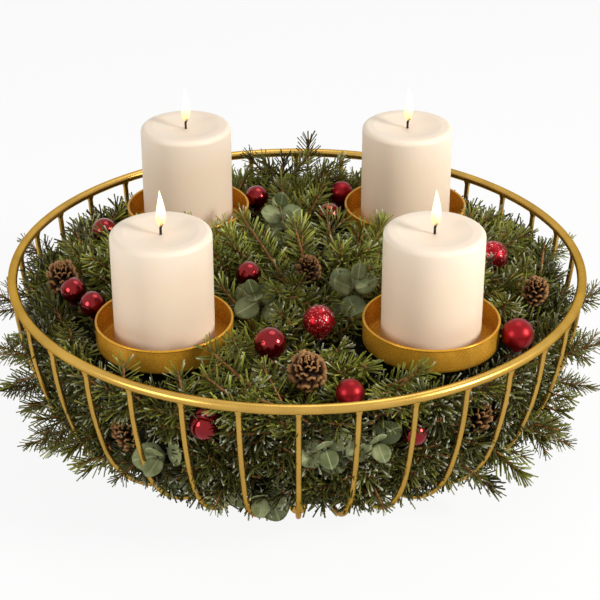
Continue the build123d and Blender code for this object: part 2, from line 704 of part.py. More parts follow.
baubles = bauble_places()
for number, (centre, radius, way) in enumerate(baubles, 1):
    save(f"bauble_{number:02d}", [bauble(centre, radius, way)])
    bed_cutters.append(bauble_pocket(centre, radius, way))
    keep_out.append((centre, centre, radius))
    keep_out.append((centre, centre + way * (radius + NECK_LENGTH), NECK_DIAMETER / 2))
save("bauble_picks", [bauble_pick(*place) for place in baubles])

cones = cone_places()
for number, (base, way, size) in enumerate(cones, 1):
    save(f"pine_cone_{number}", [cone(base, way, size)])
    bed_cutters.append(cone_pocket(base, way, size))
    inner = way * (CONE_DIAMETER / 2 * size)
    keep_out.append((base + inner, base + way * (CONE_LENGTH * size) - inner, CONE_DIAMETER / 2 * size))
save("cone_picks", [cone_pick(base, way) for base, way, size in cones])

eucalyptus_shape = eucalyptus_template()
for number, (root, way) in enumerate(eucalyptus_places(), 1):
    save(f"eucalyptus_{number}", [aimed(eucalyptus_shape, root, way)])
    bed_cutters.append(eucalyptus_pocket(root, way))
    keep_out.append((root + way * LEAF_REACH, root + way * LEAF_TOP, LEAF_REACH))

outer_shape = fir_tip_template(TIP_LENGTH * OUTER_LENGTH_SHARE)
top_shape = fir_tip_template(TIP_LENGTH)
outer_places = outer_tips()
top_places = top_tips()
save("fir_tips_outer", [aimed(outer_shape, root, way) for root, way in outer_places])
save("fir_tips_top", [aimed(top_shape, root, way) for root, way in top_places])
save("fir_bed", [fir_bed(bed_cutters)])
print(f"{len(outer_places)} outer tips, {len(top_places)} top tips")
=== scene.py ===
import math
import random

import bmesh
import bpy
import numpy as np
from mathutils import Matrix, Vector, noise


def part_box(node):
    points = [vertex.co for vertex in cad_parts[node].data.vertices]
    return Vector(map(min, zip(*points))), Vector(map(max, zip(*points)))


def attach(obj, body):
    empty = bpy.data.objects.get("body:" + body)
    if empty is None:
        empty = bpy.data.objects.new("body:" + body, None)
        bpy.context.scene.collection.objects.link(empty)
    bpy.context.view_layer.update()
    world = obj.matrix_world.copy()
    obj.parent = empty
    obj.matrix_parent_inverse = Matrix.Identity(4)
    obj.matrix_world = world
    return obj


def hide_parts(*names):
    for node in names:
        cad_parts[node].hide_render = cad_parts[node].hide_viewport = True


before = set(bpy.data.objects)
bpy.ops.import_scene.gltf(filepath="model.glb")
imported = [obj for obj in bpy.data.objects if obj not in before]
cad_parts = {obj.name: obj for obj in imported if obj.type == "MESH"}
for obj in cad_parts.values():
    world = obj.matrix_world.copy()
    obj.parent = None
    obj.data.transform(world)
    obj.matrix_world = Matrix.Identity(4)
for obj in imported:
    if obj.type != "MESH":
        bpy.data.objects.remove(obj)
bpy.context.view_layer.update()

bl_info = {
    "name": "Advent candle bowl",
    "version": (1, 0, 0),
    "blender": (4, 5, 0),
    "location": "3D View > Sidebar > Advent bowl",
    "description": "Dresses the packed candle bowl with finishes, fir greenery, cones, leaves and flames",
    "category": "Object",
}

MM = 0.001
GOLDEN_TURN = math.radians(137.508)
UP = Vector((0, 0, 1))
# Roots and tips of the sprigs that are placed one by one, in mm
SPRIGS = (
    ((-5, -14, 133), (-43, 50, 163)), ((15, 51, 135), (35, 43, 161)), ((-29, -79, 133), (-56, -50, 155)),
    ((5, 89, 135), (17, 79, 165)), ((-32, -159, 133), (-59, -143, 153)), ((-11, -175, 131), (-23, -162, 151)),
    ((-40, -174, 131), (-62, -163, 145)), ((-117, -158, 131), (-116, -153, 148)),
    ((-76, -168, 131), (-80, -156, 143)))
# Green of the long sprigs on top, painted lighter as painted light like the crown twigs
SPRIG_GREEN_PAINTED_LIGHT = 0.72
SPRIG_FROST = 0.3
CORNERS = ("front_left", "front_right", "back_left", "back_right")
BASKET = "basket"
RIB_COUNT = 34
# Scales on a cone, and how far its tip points up
SCALE_COUNT = 48
CONE_RISE = math.radians(55)
CONE_SEED = 70
# Each pair of eucalyptus leaves from the foot up: its share of the sprig, its tilt in degrees, its size in mm
LEAF_PAIRS = ((0.36, 8, 20.5), (0.56, 14, 20.5), (0.74, 24, 17.5), (0.92, 48, 12.0))
SIDE_LEAF_GROWTH = 1.22
LEAF_SEED = 40
# Tints of the gold on wire and on sheet: one paint given two colours as painted reflection of the different
# surroundings each mirrors
WIRE_REFLECTION_TINT = (1.1, 1.27, 1.9)
SHEET_REFLECTION_TINT = (1.3, 1.22, 0.75)
# How far a flame reaches down round its wick, below its solid
FLAME_SINK = 3 * MM
# Lengths of the fir twigs as shares of a long one, and the shares of a twig's needles that have frost
TWIG_SHARES = (1.0, 0.76, 0.54, 0.34, 0.22)
FROST_SHARES = (0.0, 0.08, 0.2, 0.5)
NEEDLE_STEP = 0.78 * MM
TUFT_LENGTH = 8 * MM
# Middle greens of the twigs, from 0 for dark to 1 for fresh: painted light on the crown, painted shade at the
# sides and tufts
CROWN_GREEN_PAINTED_LIGHT = 0.73
SIDE_GREEN_PAINTED_SHADE = 0.22
TUFT_GREEN_PAINTED_SHADE = 0.25

BAUBLE_FINISHES = {
    "shiny": (1, 2, 3, 4, 5, 7, 8, 13, 14),
    "satin": (6, 10, 11),
    "glitter": (9, 12),
}
CONES = tuple(f"pine_cone_{k}" for k in range(1, 7))
OUTWARD_CONES = CONES[4:]
EUCALYPTUS = tuple(f"eucalyptus_{k}" for k in range(1, 8))
BAUBLES = tuple(f"bauble_{k:02d}" for k in range(1, 15))

# Where the photograph was taken from, in metres in the row frame
CAMERA_PLACE = Vector((-0.00457, -1.13939, 0.71583))
CAMERA_AIM = Vector((0.00204, 0.0, 0.11529))
CAMERA_LENS = 102.49
CAMERA_SENSOR = 36.0
SIGHT = (CAMERA_PLACE - CAMERA_AIM).normalized()

# Each studio lamp: name, place and size in metres, power in watts, colour
LAMPS = (
    ("key", (1.55, -0.75, 0.95), 0.6, 31.0, (1.0, 0.98, 0.95)),
    ("fill", (-1.2, -1.0, 0.7), 0.8, 10.5, (1.0, 0.98, 0.96)),
    ("top", (0.3, 0.4, 1.6), 0.9, 5.0, (1.0, 1.0, 1.0)))
# Strength of the sky on the bowl, against 1 behind it, and the floor's share of plain white
SKY_LIGHT = 0.32
FLOOR_WHITE = 0.9


def linear(code):
    """Linear red, green and blue of an sRGB hex value."""
    parts = [int(code[k:k + 2], 16) / 255 for k in (1, 3, 5)]
    return tuple(v / 12.92 if v <= 0.04045 else ((v + 0.055) / 1.055) ** 2.4 for v in parts)


def rgba(code):
    """An sRGB hex value as a socket's colour."""
    return (*linear(code), 1.0)


# Sizes and colours that a user would change

class BowlGreenery(bpy.types.PropertyGroup):
    needle_length: bpy.props.FloatProperty(
        name="Needle length", description="Longest needle on a twig",
        default=15.0 * MM, min=4 * MM, unit="LENGTH")
    needle_width: bpy.props.FloatProperty(
        name="Needle width", description="Width of a needle at its foot",
        default=1.5 * MM, min=0.5 * MM, unit="LENGTH")
    twig_length: bpy.props.FloatProperty(
        name="Twig length", description="Length of a long fir twig",
        default=58 * MM, min=20 * MM, unit="LENGTH")
    crown_tries: bpy.props.IntProperty(
        name="Crown twigs", description="Places that are tried for twigs over the top of the bed",
        default=760, min=0)
    side_tries: bpy.props.IntProperty(
        name="Side twigs", description="Places that are tried for twigs behind the ribs",
        default=1500, min=0)
    tuft_tries: bpy.props.IntProperty(
        name="Tuft tries", description="Places tried for short tufts that hide the bed",
        default=1900, min=0)
    fringe_tries: bpy.props.IntProperty(
        name="Fringe twigs", description="Places that are tried for twigs that reach out between the ribs",
        default=110, min=0)
    seed: bpy.props.IntProperty(
        name="Seed", description="Changes how the greenery is scattered", default=24)


class BowlColours(bpy.types.PropertyGroup):
    gold: bpy.props.FloatVectorProperty(
        name="Gold", description="Middle tone of the gold paint",
        subtype="COLOR", default=linear("#BD8D38"))
    wax: bpy.props.FloatVectorProperty(
        name="Wax", description="Body of the candles", subtype="COLOR", default=linear("#EED9C0"))
    red: bpy.props.FloatVectorProperty(
        name="Red", description="Lacquer of the baubles", subtype="COLOR", default=linear("#840912"))
    needle: bpy.props.FloatVectorProperty(
        name="Needle", description="Middle green of the fir needles",
        subtype="COLOR", default=linear("#6A6B29"))


# Materials

def add_node(tree, kind, sockets=None, stops=None, **settings):
    """Add one shader node with its settings, its ramp's stops, and its inputs set or linked.

    An input takes a value, another node's output, or a node, which stands for its first output.
    """
    made = tree.nodes.new("ShaderNode" + kind)
    for name, value in settings.items():
        setattr(made, name, value)
    for name, value in (sockets or {}).items():
        if isinstance(value, bpy.types.Node):
            value = value.outputs[0]
        if isinstance(value, bpy.types.NodeSocket):
            tree.links.new(value, made.inputs[name])
        else:
            made.inputs[name].default_value = value
    for number, (position, colour) in enumerate(stops or ()):
        ramp = made.color_ramp.elements
        stop = ramp[number] if number < len(ramp) else ramp.new(position)
        stop.position, stop.color = position, colour
    return made


def start_finish(name):
    """A new material with an empty node tree."""
    finish = bpy.data.materials.new(name)
    finish.use_nodes = True
    finish.node_tree.nodes.clear()
    return finish, finish.node_tree


def start_pattern(name):
    """A new material and its tree, with the Object coordinates that its patterns follow."""
    finish, tree = start_finish(name)
    return finish, tree, add_node(tree, "TexCoord").outputs["Object"]


def close_finish(tree, sockets):
    """Finish a tree with one Principled shader."""
    shader = add_node(tree, "BsdfPrincipled", sockets)
    add_node(tree, "OutputMaterial", {"Surface": shader})


def per_mm(size):
    """Texture scale that gives a pattern of a size in millimetres."""
    return 1.0 / (size * MM)


def darker(colour, share):
    """A linear colour times a share, as a socket's colour."""
    return (*(v * share for v in colour), 1.0)


def mottled(name, fleck, detail, stops, sockets, relief=None):
    """A finish that drifts between colours in flecks of some mm, with relief of a strength and depth."""
    finish, tree, where = start_pattern(name)
    drift = add_node(tree, "TexNoise", {"Vector": where, "Scale": per_mm(fleck), "Detail": detail})
    tone = add_node(tree, "ValToRGB", {"Fac": drift}, stops=stops)
    inputs = {"Base Color": tone, **sockets}
    if relief:
        strength, depth = relief
        bump = add_node(tree, "Bump", {"Height": drift, "Strength": strength, "Distance": depth * MM})
        inputs["Normal"] = bump
    close_finish(tree, inputs)
    return finish


def gold_paint(name, mirror, reflection_tint):
    """Satin gold paint on steel, softly mirroring, tinted as painted reflection of its surroundings, with its
    underside painted darker as painted shade.
    """
    # Painted reflection: the gold is tinted for what this surface mirrors
    gold = tuple(own * share for own, share in zip(bpy.context.scene.bowl_colours.gold, reflection_tint))
    finish, tree, where = start_pattern(name)
    cloud = add_node(tree, "TexNoise", {"Vector": where, "Scale": per_mm(22), "Detail": 4.0})
    tone = add_node(tree, "ValToRGB", {"Fac": cloud}, stops=(
        (0.30, darker(gold, 0.82)), (0.55, darker(gold, 1.0)), (0.75, darker(gold, 1.12))))
    # Painted shade: faces that turn downwards get a darker gold
    facing = add_node(tree, "SeparateXYZ", {"Vector": add_node(tree, "NewGeometry").outputs["Normal"]})
    cover = add_node(tree, "MapRange", {"Value": facing.outputs["Z"], "From Min": -0.9, "From Max": 0.35})
    tone_with_painted_shade = add_node(tree, "Mix", {0: cover, 6: darker(gold, 0.74), 7: tone}, data_type="RGBA")
    # The spray's grain is about 0.3 mm and is drawn three times as coarse, so that it shows
    grain = add_node(tree, "TexNoise", {"Vector": where, "Scale": per_mm(0.9), "Detail": 2.0})
    rough = add_node(tree, "MapRange", {"Value": grain, "To Min": 0.2, "To Max": 0.34})
    bump = add_node(tree, "Bump", {"Height": grain, "Strength": 0.12, "Distance": 0.1 * MM})
    close_finish(tree, {
        "Base Color": tone_with_painted_shade.outputs[2], "Metallic": mirror, "Specular Tint": rgba("#C9AE84"),
        "Roughness": rough, "Normal": bump})
    return finish


def drawn_steel():
    """Plain drawn steel wire, dull grey."""
    return mottled(
        "drawn steel wire", 1.5, 3.0, ((0.3, rgba("#77746E")), (0.7, rgba("#A5A29B"))),
        {"Metallic": 1.0, "Roughness": 0.38})


def ivory_wax(low, high):
    """Poured ivory wax: soft, slightly translucent, painted paler round the top as painted light."""
    wax = tuple(bpy.context.scene.bowl_colours.wax)
    finish, tree, where = start_pattern("ivory candle wax")
    height = add_node(tree, "SeparateXYZ", {"Vector": where})
    cloud = add_node(tree, "TexNoise", {"Vector": where, "Scale": per_mm(30), "Detail": 3.0})
    shift = add_node(tree, "Math", {0: cloud, 1: 14 * MM, 2: height.outputs["Z"]}, operation="MULTIPLY_ADD")
    level = add_node(tree, "MapRange", {"Value": shift, "From Min": low, "From Max": high + 7 * MM})
    # Painted light: the stops run paler towards the top of the candle
    tone = add_node(tree, "ValToRGB", {"Fac": level}, stops=(
        (0.0, darker(wax, 1.0)), (0.35, darker(wax, 0.98)), (0.72, darker(wax, 1.0)),
        (0.95, rgba("#F2E2CE"))))
    pits = add_node(tree, "TexNoise", {"Vector": where, "Scale": per_mm(3.5), "Detail": 3.0})
    bump = add_node(tree, "Bump", {"Height": pits, "Strength": 0.10, "Distance": 0.3 * MM})
    close_finish(tree, {
        "Base Color": tone, "Roughness": 0.46, "IOR": 1.44, "Normal": bump, "Subsurface Weight": 0.35,
        "Subsurface Radius": (9 * MM, 5.5 * MM, 3.5 * MM), "Subsurface Scale": 1.0})
    return finish


def burnt_wick():
    """Charred cotton braid, nearly black, with a faint slanting twist."""
    finish, tree, where = start_pattern("burnt cotton wick")
    braid = add_node(tree, "TexWave", {
        "Vector": where, "Scale": per_mm(6.0), "Distortion": 3.0}, bands_direction="DIAGONAL")
    tone = add_node(tree, "ValToRGB", {"Fac": braid.outputs["Fac"]}, stops=(
        (0.0, rgba("#0C0A08")), (1.0, rgba("#2E261F"))))
    bump = add_node(tree, "Bump", {"Height": braid.outputs["Fac"], "Strength": 0.6, "Distance": 0.2 * MM})
    close_finish(tree, {"Base Color": tone, "Roughness": 0.9, "Normal": bump})
    return finish


def flame_glow(low, high):
    """Burning wax vapour: amber and thin at its foot, pale yellow above."""
    finish, tree, where = start_pattern("candle flame")
    height = add_node(tree, "SeparateXYZ", {"Vector": where})
    level = add_node(tree, "MapRange", {"Value": height.outputs["Z"], "From Min": low, "From Max": high})
    glow = add_node(tree, "ValToRGB", {"Fac": level}, stops=(
        (0.0, rgba("#E8A13A")), (0.18, rgba("#FFC768")), (0.42, rgba("#FFF0C4")), (0.9, rgba("#FFFBF0"))))
    cover = add_node(tree, "ValToRGB", {"Fac": level}, stops=(
        (0.0, (0.15, 0.15, 0.15, 1.0)), (0.3, (0.9, 0.9, 0.9, 1.0)), (0.85, (0.95, 0.95, 0.95, 1.0)),
        (1.0, (0.5, 0.5, 0.5, 1.0))))
    close_finish(tree, {
        "Base Color": rgba("#FFE3A8"), "Roughness": 1.0, "Specular IOR Level": 0.0,
        "Emission Color": glow, "Emission Strength": 1.15, "Alpha": cover})
    return finish


def fir_needle(name, paleness, sheen):
    """One side of a fir needle: olive green, darkened towards its foot as painted shade, waxy, its tip
    frosted on some twigs.
    """
    green = tuple(bpy.context.scene.bowl_colours.needle)
    finish, tree = start_finish(name)
    shade, along, frost = (
        add_node(tree, "Attribute", attribute_name=key).outputs["Fac"]
        for key in ("shade", "along", "frost"))
    tone = add_node(tree, "ValToRGB", {"Fac": shade}, stops=(
        (0.0, darker(green, 0.22 * paleness)), (0.35, darker(green, 0.62 * paleness)),
        (0.62, darker(green, 1.2 * paleness)), (0.85, darker(linear("#858C34"), paleness)),
        (1.0, darker(linear("#9C9F48"), paleness))))
    # Painted shade: the green is darkened towards the needle's foot, where it meets the twig
    depth = add_node(tree, "MapRange", {
        "Value": along, "From Min": 0.0, "From Max": 0.7, "To Min": 0.3, "To Max": 1.0})
    body = add_node(tree, "Mix", {0: 1.0, 6: tone, 7: depth}, data_type="RGBA", blend_type="MULTIPLY")
    tip = add_node(tree, "MapRange", {"Value": along, "From Min": 0.6, "From Max": 1.0})
    dusted = add_node(tree, "Math", {0: tip, 1: frost}, operation="MULTIPLY")
    mixed = add_node(tree, "Mix", {0: dusted, 6: body.outputs[2], 7: rgba("#CFD2B8")}, data_type="RGBA")
    close_finish(tree, {"Base Color": mixed.outputs[2], "Roughness": 0.45, "Specular IOR Level": sheen})
    return finish


def fir_bark():
    """Young fir bark: reddish brown with lighter flecks."""
    return mottled(
        "young fir bark", 2.5, 3.0, ((0.3, rgba("#70451C")), (0.55, rgba("#9A6630")), (0.8, rgba("#B88550"))),
        {"Roughness": 0.8})


def cuttings_in_painted_shade():
    """Packed fir cuttings and moss, painted nearly black green as painted shade."""
    # Painted shade: the bed's near black greens stand in for the shade between the twigs
    stops = ((0.35, rgba("#060602")), (0.55, rgba("#0F1006")), (0.75, rgba("#1E1F0C")))
    return mottled(
        "packed fir cuttings", 7, 6.0, stops, {"Roughness": 0.95, "Specular IOR Level": 0.1}, (0.9, 4))


def cone_scale():
    """Dry pine scale: near black at its foot inside the cone as painted shade, woody brown, with a worn pale
    tip.
    """
    finish, tree, where = start_pattern("dry pine scale")
    along = add_node(tree, "Attribute", attribute_name="along").outputs["Fac"]
    fibre = add_node(tree, "TexNoise", {"Vector": where, "Scale": per_mm(1.6), "Detail": 4.0})
    shift = add_node(tree, "Math", {0: fibre, 1: 0.22, 2: along}, operation="MULTIPLY_ADD")
    # Painted shade: the stops run to near black towards the scale's foot
    tone = add_node(tree, "ValToRGB", {"Fac": shift}, stops=(
        (0.25, rgba("#100803")), (0.6, rgba("#26140A")), (0.88, rgba("#50300F")), (1.06, rgba("#9C6E3C"))))
    bump = add_node(tree, "Bump", {"Height": fibre, "Strength": 0.5, "Distance": 0.4 * MM})
    close_finish(tree, {"Base Color": tone, "Roughness": 0.62, "Normal": bump})
    return finish


def eucalyptus_leaf():
    """Eucalyptus leaf: grey green under a matt wax bloom, with a pale midrib and side veins."""
    finish, tree, where = start_pattern("eucalyptus leaf")
    flat = add_node(tree, "SeparateXYZ", {"Vector": add_node(tree, "UVMap", uv_map="leaf").outputs["UV"]})
    side = add_node(tree, "Math", {0: flat.outputs["Y"], 1: 0.5}, operation="SUBTRACT")
    away = add_node(tree, "Math", {0: side}, operation="ABSOLUTE")
    rib = add_node(tree, "MapRange", {
        "Value": away, "From Min": 0.012, "From Max": 0.05, "To Min": 1.0, "To Max": 0.0})
    slant = add_node(tree, "Math", {0: away, 1: -0.9, 2: flat.outputs["X"]}, operation="MULTIPLY_ADD")
    wave = add_node(tree, "Math", {0: slant, 1: 52.0}, operation="MULTIPLY")
    vein = add_node(tree, "Math", {0: wave}, operation="SINE")
    thin = add_node(tree, "MapRange", {
        "Value": vein, "From Min": 0.82, "From Max": 1.0, "To Min": 0.0, "To Max": 0.35})
    lines = add_node(tree, "Math", {0: rib, 1: thin}, operation="MAXIMUM")
    cloud = add_node(tree, "TexNoise", {"Vector": where, "Scale": per_mm(9), "Detail": 3.0})
    tone = add_node(tree, "ValToRGB", {"Fac": cloud}, stops=(
        (0.3, rgba("#5E6842")), (0.5, rgba("#7C8256")), (0.72, rgba("#989E72"))))
    age = add_node(tree, "Attribute", attribute_name="age").outputs["Fac"]
    aged = add_node(tree, "Mix", {0: age, 6: tone, 7: rgba("#404C26")}, data_type="RGBA")
    drawn = add_node(tree, "Mix", {0: lines, 6: aged.outputs[2], 7: rgba("#9BA27A")}, data_type="RGBA")
    bump = add_node(tree, "Bump", {"Height": lines, "Strength": 0.4, "Distance": 0.25 * MM})
    close_finish(tree, {
        "Base Color": drawn.outputs[2], "Roughness": 0.6, "Specular IOR Level": 0.3, "Normal": bump})
    return finish


def eucalyptus_twig():
    """Thin reddish eucalyptus twig."""
    return mottled(
        "eucalyptus twig", 3, 2.0, ((0.3, rgba("#6A4A36")), (0.7, rgba("#A08A6C"))), {"Roughness": 0.7})


def shiny_red():
    """Metallised and lacquered plastic: deep mirror red with a faint haze."""
    red = tuple(bpy.context.scene.bowl_colours.red)
    finish, tree, where = start_pattern("mirror red lacquer")
    haze = add_node(tree, "TexNoise", {"Vector": where, "Scale": per_mm(6), "Detail": 3.0})
    tone = add_node(tree, "ValToRGB", {"Fac": haze}, stops=(
        (0.3, darker(red, 0.8)), (0.7, darker(red, 1.0))))
    rough = add_node(tree, "MapRange", {"Value": haze, "To Min": 0.03, "To Max": 0.10})
    close_finish(tree, {
        "Base Color": tone, "Metallic": 0.92, "Roughness": rough,
        "Coat Weight": 0.35, "Coat Roughness": 0.03})
    return finish


def satin_red():
    """Frosted red lacquer: soft broad highlights."""
    red = tuple(bpy.context.scene.bowl_colours.red)
    return mottled(
        "satin red lacquer", 0.8, 2.0, ((0.3, darker(red, 0.95)), (0.7, darker(red, 1.2))),
        {"Metallic": 0.75, "Roughness": 0.36}, (0.15, 0.1))


def glitter_red():
    """Red glitter flakes, each tipped its own way."""
    red = tuple(bpy.context.scene.bowl_colours.red)
    finish, tree, where = start_pattern("red glitter flakes")
    # Real flakes are about 0.4 mm and are drawn at 0.8 mm, so that they show
    flake = add_node(tree, "TexVoronoi", {"Vector": where, "Scale": per_mm(0.8)})
    split = add_node(tree, "SeparateColor", {"Color": flake.outputs["Color"]})
    tone = add_node(tree, "ValToRGB", {"Fac": split.outputs["Red"]}, stops=(
        (0.0, darker(red, 0.7)), (0.6, darker(red, 1.5)), (0.88, darker(red, 2.4)), (0.98, rgba("#F6B9B4"))))
    bump = add_node(tree, "Bump", {"Height": split.outputs["Green"], "Strength": 0.9, "Distance": 0.5 * MM})
    close_finish(tree, {"Base Color": tone, "Metallic": 0.8, "Roughness": 0.3, "Normal": bump})
    return finish


# Shared helpers for pieces

def paint(node, finish):
    """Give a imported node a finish."""
    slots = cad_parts[node].data.materials
    slots.clear()
    slots.append(finish)


def keep_mesh(name, shape):
    """Turn a bmesh into a mesh and free it."""
    mesh = bpy.data.meshes.new(name)
    shape.to_mesh(mesh)
    shape.free()
    return mesh


def add_piece(name, shape, finishes, body, stands_for=()):
    """Turn a bmesh into a piece that rides on a body."""
    mesh = keep_mesh(name, shape)
    for finish in finishes:
        mesh.materials.append(finish)
    piece = bpy.data.objects.new(name, mesh)
    bpy.context.scene.collection.objects.link(piece)
    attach(piece, body)
    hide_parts(*stands_for)


def stamp(shape, template, place, changes=None):
    """Copy a template mesh into a bmesh at a place, with some of its vertex values changed."""
    copy = template.copy()
    copy.transform(place)
    for key, change in (changes or {}).items():
        values = np.empty(len(copy.vertices), np.float32)
        layer = copy.attributes[key].data
        layer.foreach_get("value", values)
        layer.foreach_set("value", change(values))
    shape.from_mesh(copy)
    bpy.data.meshes.remove(copy)


def add_rod(shape, sides, foot, tip, length, place=Matrix(), slot=0):
    """Add a tapered rod along the +Z of a place, in one of its piece's finishes, and return its vertices."""
    verts = bmesh.ops.create_cone(
        shape, cap_ends=True, segments=sides, radius1=foot, radius2=tip, depth=length,
        matrix=place @ Matrix.Translation((0, 0, length / 2)))["verts"]
    for face in {face for vertex in verts for face in vertex.link_faces}:
        face.material_index = slot
    return verts


def node_points(node):
    """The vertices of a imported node, as an array."""
    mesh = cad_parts[node].data
    flat = np.empty(len(mesh.vertices) * 3)
    mesh.vertices.foreach_get("co", flat)
    return flat.reshape(-1, 3)


def pose(root, way, roll=0.0, size=1.0):
    """Matrix that sets a shape built along +Z on a root, aimed along a direction."""
    aim = way.to_track_quat("Z", "Y").to_matrix().to_4x4()
    return Matrix.Translation(root) @ aim @ Matrix.Rotation(roll, 4, "Z") @ Matrix.Scale(size, 4)


def roll_towards(way, face):
    """Turn about a direction that makes a shape's own +Y look towards a face direction."""
    aim = way.to_track_quat("Z", "Y").to_matrix().transposed() @ face
    return math.atan2(-aim.x, aim.y)


def ring_point(radius, angle, z):
    """The point at a radius, a plan angle from the front and a height."""
    return Vector((radius * math.sin(angle), -radius * math.cos(angle), z))


def heading(angle, rise):
    """Direction at a plan angle from the front, rising above the level."""
    return ring_point(math.cos(rise), angle, math.sin(rise))


def span_gap(point, start, end):
    """Distance from a point to the line between two points."""
    way = end - start
    share = 0.0 if way.length_squared == 0 else (point - start).dot(way) / way.length_squared
    return (start + way * min(1.0, max(0.0, share)) - point).length


# The bowl's own shape, read from the frame

RING_LOW, RING_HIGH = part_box("top_ring")
BASE_LOW, BASE_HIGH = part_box("base_ring")
RING_ROD = (RING_HIGH.z - RING_LOW.z) / 2
RING_RADIUS = RING_HIGH.x - RING_ROD
RING_Z = RING_HIGH.z - RING_ROD
BASE_RADIUS = BASE_HIGH.x - (BASE_HIGH.z - BASE_LOW.z) / 2
BASE_Z = (BASE_HIGH.z + BASE_LOW.z) / 2
BED_LOW, BED_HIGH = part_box("fir_bed")
CUP_BOXES = [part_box(f"cup_{corner}") for corner in CORNERS]
BED_RADIUS = BED_HIGH.x
BED_CROWN = 6 * MM
BED_EDGE_Z = BED_HIGH.z - BED_CROWN
RIB_BEND_SHARE = 0.918
LOW_BEND = RIB_BEND_SHARE * (RING_RADIUS - BASE_RADIUS)

# Where greenery may grow: its lowest and highest points near the ribs, and its crown's share of the ring
GREENS_FLOOR = BASE_Z + 29 * MM
FRONT_CEILING = RING_Z - 3 * MM
BACK_CEILING = RING_Z - 14 * MM
CROWN_SHARE = 0.88
ROOT_DEPTH = 4 * MM
SHORTEST_TWIG = 11 * MM
SIDE_ROOT_RISE = 26 * MM
NEAR_RING = 0.8 * RING_RADIUS
# Fringe twigs: their lowest roots over the base ring, the span and depth of their roots, the front left free
FRINGE_RISE = 14 * MM
FRINGE_SPAN = 62 * MM
FRINGE_DEPTH = 26 * MM
FRONT_HALF_ANGLE = math.radians(38)
# Room between a cup and a twig or a tuft, so that no needle passes through the cup's wall
TWIG_CUP_ROOM = 9 * MM
TUFT_CUP_ROOM = 6 * MM
# How far a decoration is kept free of twigs towards the camera and outwards, in mm
VIEW_REACH = 55
OUTWARD_REACH = 30
FOOT_VIEW_REACH = 90
FOOT_VIEW_ROOM = 17
SPRIG_VIEW_REACH = 40
SPRIG_VIEW_ROOM = 6
# Weight of the frost on the needles that have any
FROST_WEIGHT = 0.75


def wall_radius(z):
    """Radius of the ribs' centre line at a height: a lower bend and a nearly upright upper part."""
    turn_z = BASE_Z + LOW_BEND
    if z < turn_z:
        drop = min(1.0, (turn_z - z) / LOW_BEND)
        return BASE_RADIUS + LOW_BEND * math.sqrt(1.0 - drop * drop)
    share = (z - turn_z) / (RING_Z - turn_z)
    return BASE_RADIUS + LOW_BEND + (RING_RADIUS - BASE_RADIUS - LOW_BEND) * share


def bed_height(radius):
    """Height of the domed top of the greenery's bed."""
    return BED_HIGH.z - BED_CROWN * (radius / BED_RADIUS) ** 2


def decoration_spans():
    """Spaces that twigs keep out of: each decoration, and the view of it."""
    spans = []
    for names, inset, room in ((BAUBLES, 0.0, 4 * MM), (CONES, -3 * MM, 2 * MM), (EUCALYPTUS, 5 * MM, 0.0)):
        for name in names:
            low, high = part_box(name)
            middle = (low + high) / 2
            reach = (high.x - low.x) / 2 - inset
            spans.append((middle, middle, reach + room))
            spans.append((middle, middle + SIGHT * VIEW_REACH * MM, reach))
            level = Vector((middle.x, middle.y, 0))
            if level.length > NEAR_RING:
                spans.append((middle, middle + level.normalized() * OUTWARD_REACH * MM, reach))
    foot = Vector((0, -BASE_RADIUS, BASE_LOW.z / 2))
    spans.append((foot, foot + SIGHT * FOOT_VIEW_REACH * MM, FOOT_VIEW_ROOM * MM))
    return spans


def near_cup(point, room):
    """Whether a point is in or close round one of the candle cups, or over it."""
    for low, high in CUP_BOXES:
        away = math.hypot(point.x - (low.x + high.x) / 2, point.y - (low.y + high.y) / 2)
        if point.z > low.z - room and away < (high.x - low.x) / 2 + room:
            return True
    return False


# Shapes of the greenery

def add_needle(shape, layers, root, way, length, width, draw):
    """One blunt three-sided needle, ridged above and flat below, with its foot at root."""
    roll = draw.gauss(0.0, 0.6)
    place = pose(root, way, roll) @ Matrix.Diagonal((1, 0.62, 1, 1))
    verts = add_rod(shape, 3, width * 0.4, width * 0.48, length, place)
    under = (place.to_3x3() @ Vector((0, -1, 0))).normalized()
    shade = draw.uniform(-0.12, 0.12)
    frost = draw.random()
    faces = set()
    for vertex in verts:
        vertex[layers["along"]] = 1.0 if (vertex.co - root).length > length / 2 else 0.0
        vertex[layers["shade"]] = shade
        vertex[layers["frost"]] = frost
        faces.update(vertex.link_faces)
    for face in faces:
        face.normal_update()
        face.material_index = 1 if face.normal.dot(under) > 0.85 else 0


def twig_template(length, seed, flatness=1.0, side_twigs=()):
    """Fir twig along +Z, with needles all round that lean forward, and twigs at its sides."""
    sizes = bpy.context.scene.bowl_greenery
    draw = random.Random(seed)
    shape = bmesh.new()
    layers = {key: shape.verts.layers.float.new(key) for key in ("along", "shade", "frost")}
    add_rod(shape, 5, 1.3 * MM, 0.7 * MM, length, slot=2)
    # The bud at its tip
    add_rod(shape, 5, 1.2 * MM, 0.4 * MM, 3 * MM, Matrix.Translation((0, 0, length - 0.5 * MM)), slot=2)
    count = int(length / NEEDLE_STEP)
    for number in range(count):
        share = 0.06 + 0.94 * number / count
        lean = math.radians(64 - 36 * share ** 3 + draw.uniform(-9, 9))
        reach = sizes.needle_length * (0.85 + 0.35 * share - 0.5 * share ** 3) * draw.uniform(0.85, 1.1)
        around = number * GOLDEN_TURN + draw.uniform(-0.25, 0.25)
        if flatness < 1.0 and math.sin(around) > 0.75 and share < 0.85:
            continue
        way = Vector((
            math.sin(lean) * math.cos(around), flatness * math.sin(lean) * math.sin(around), math.cos(lean)))
        root = Vector((0, 0, share * length)) + Vector((way.x, way.y, 0)) * 0.5 * MM
        add_needle(shape, layers, root, way.normalized(), reach, sizes.needle_width, draw)
    for side_mesh, share, around, size in side_twigs:
        way = Vector((math.cos(around), math.sin(around), 1.1)).normalized()
        stamp(shape, side_mesh, pose(Vector((0, 0, share * length)), way, 0.0, size))
    return keep_mesh("fir twig", shape)


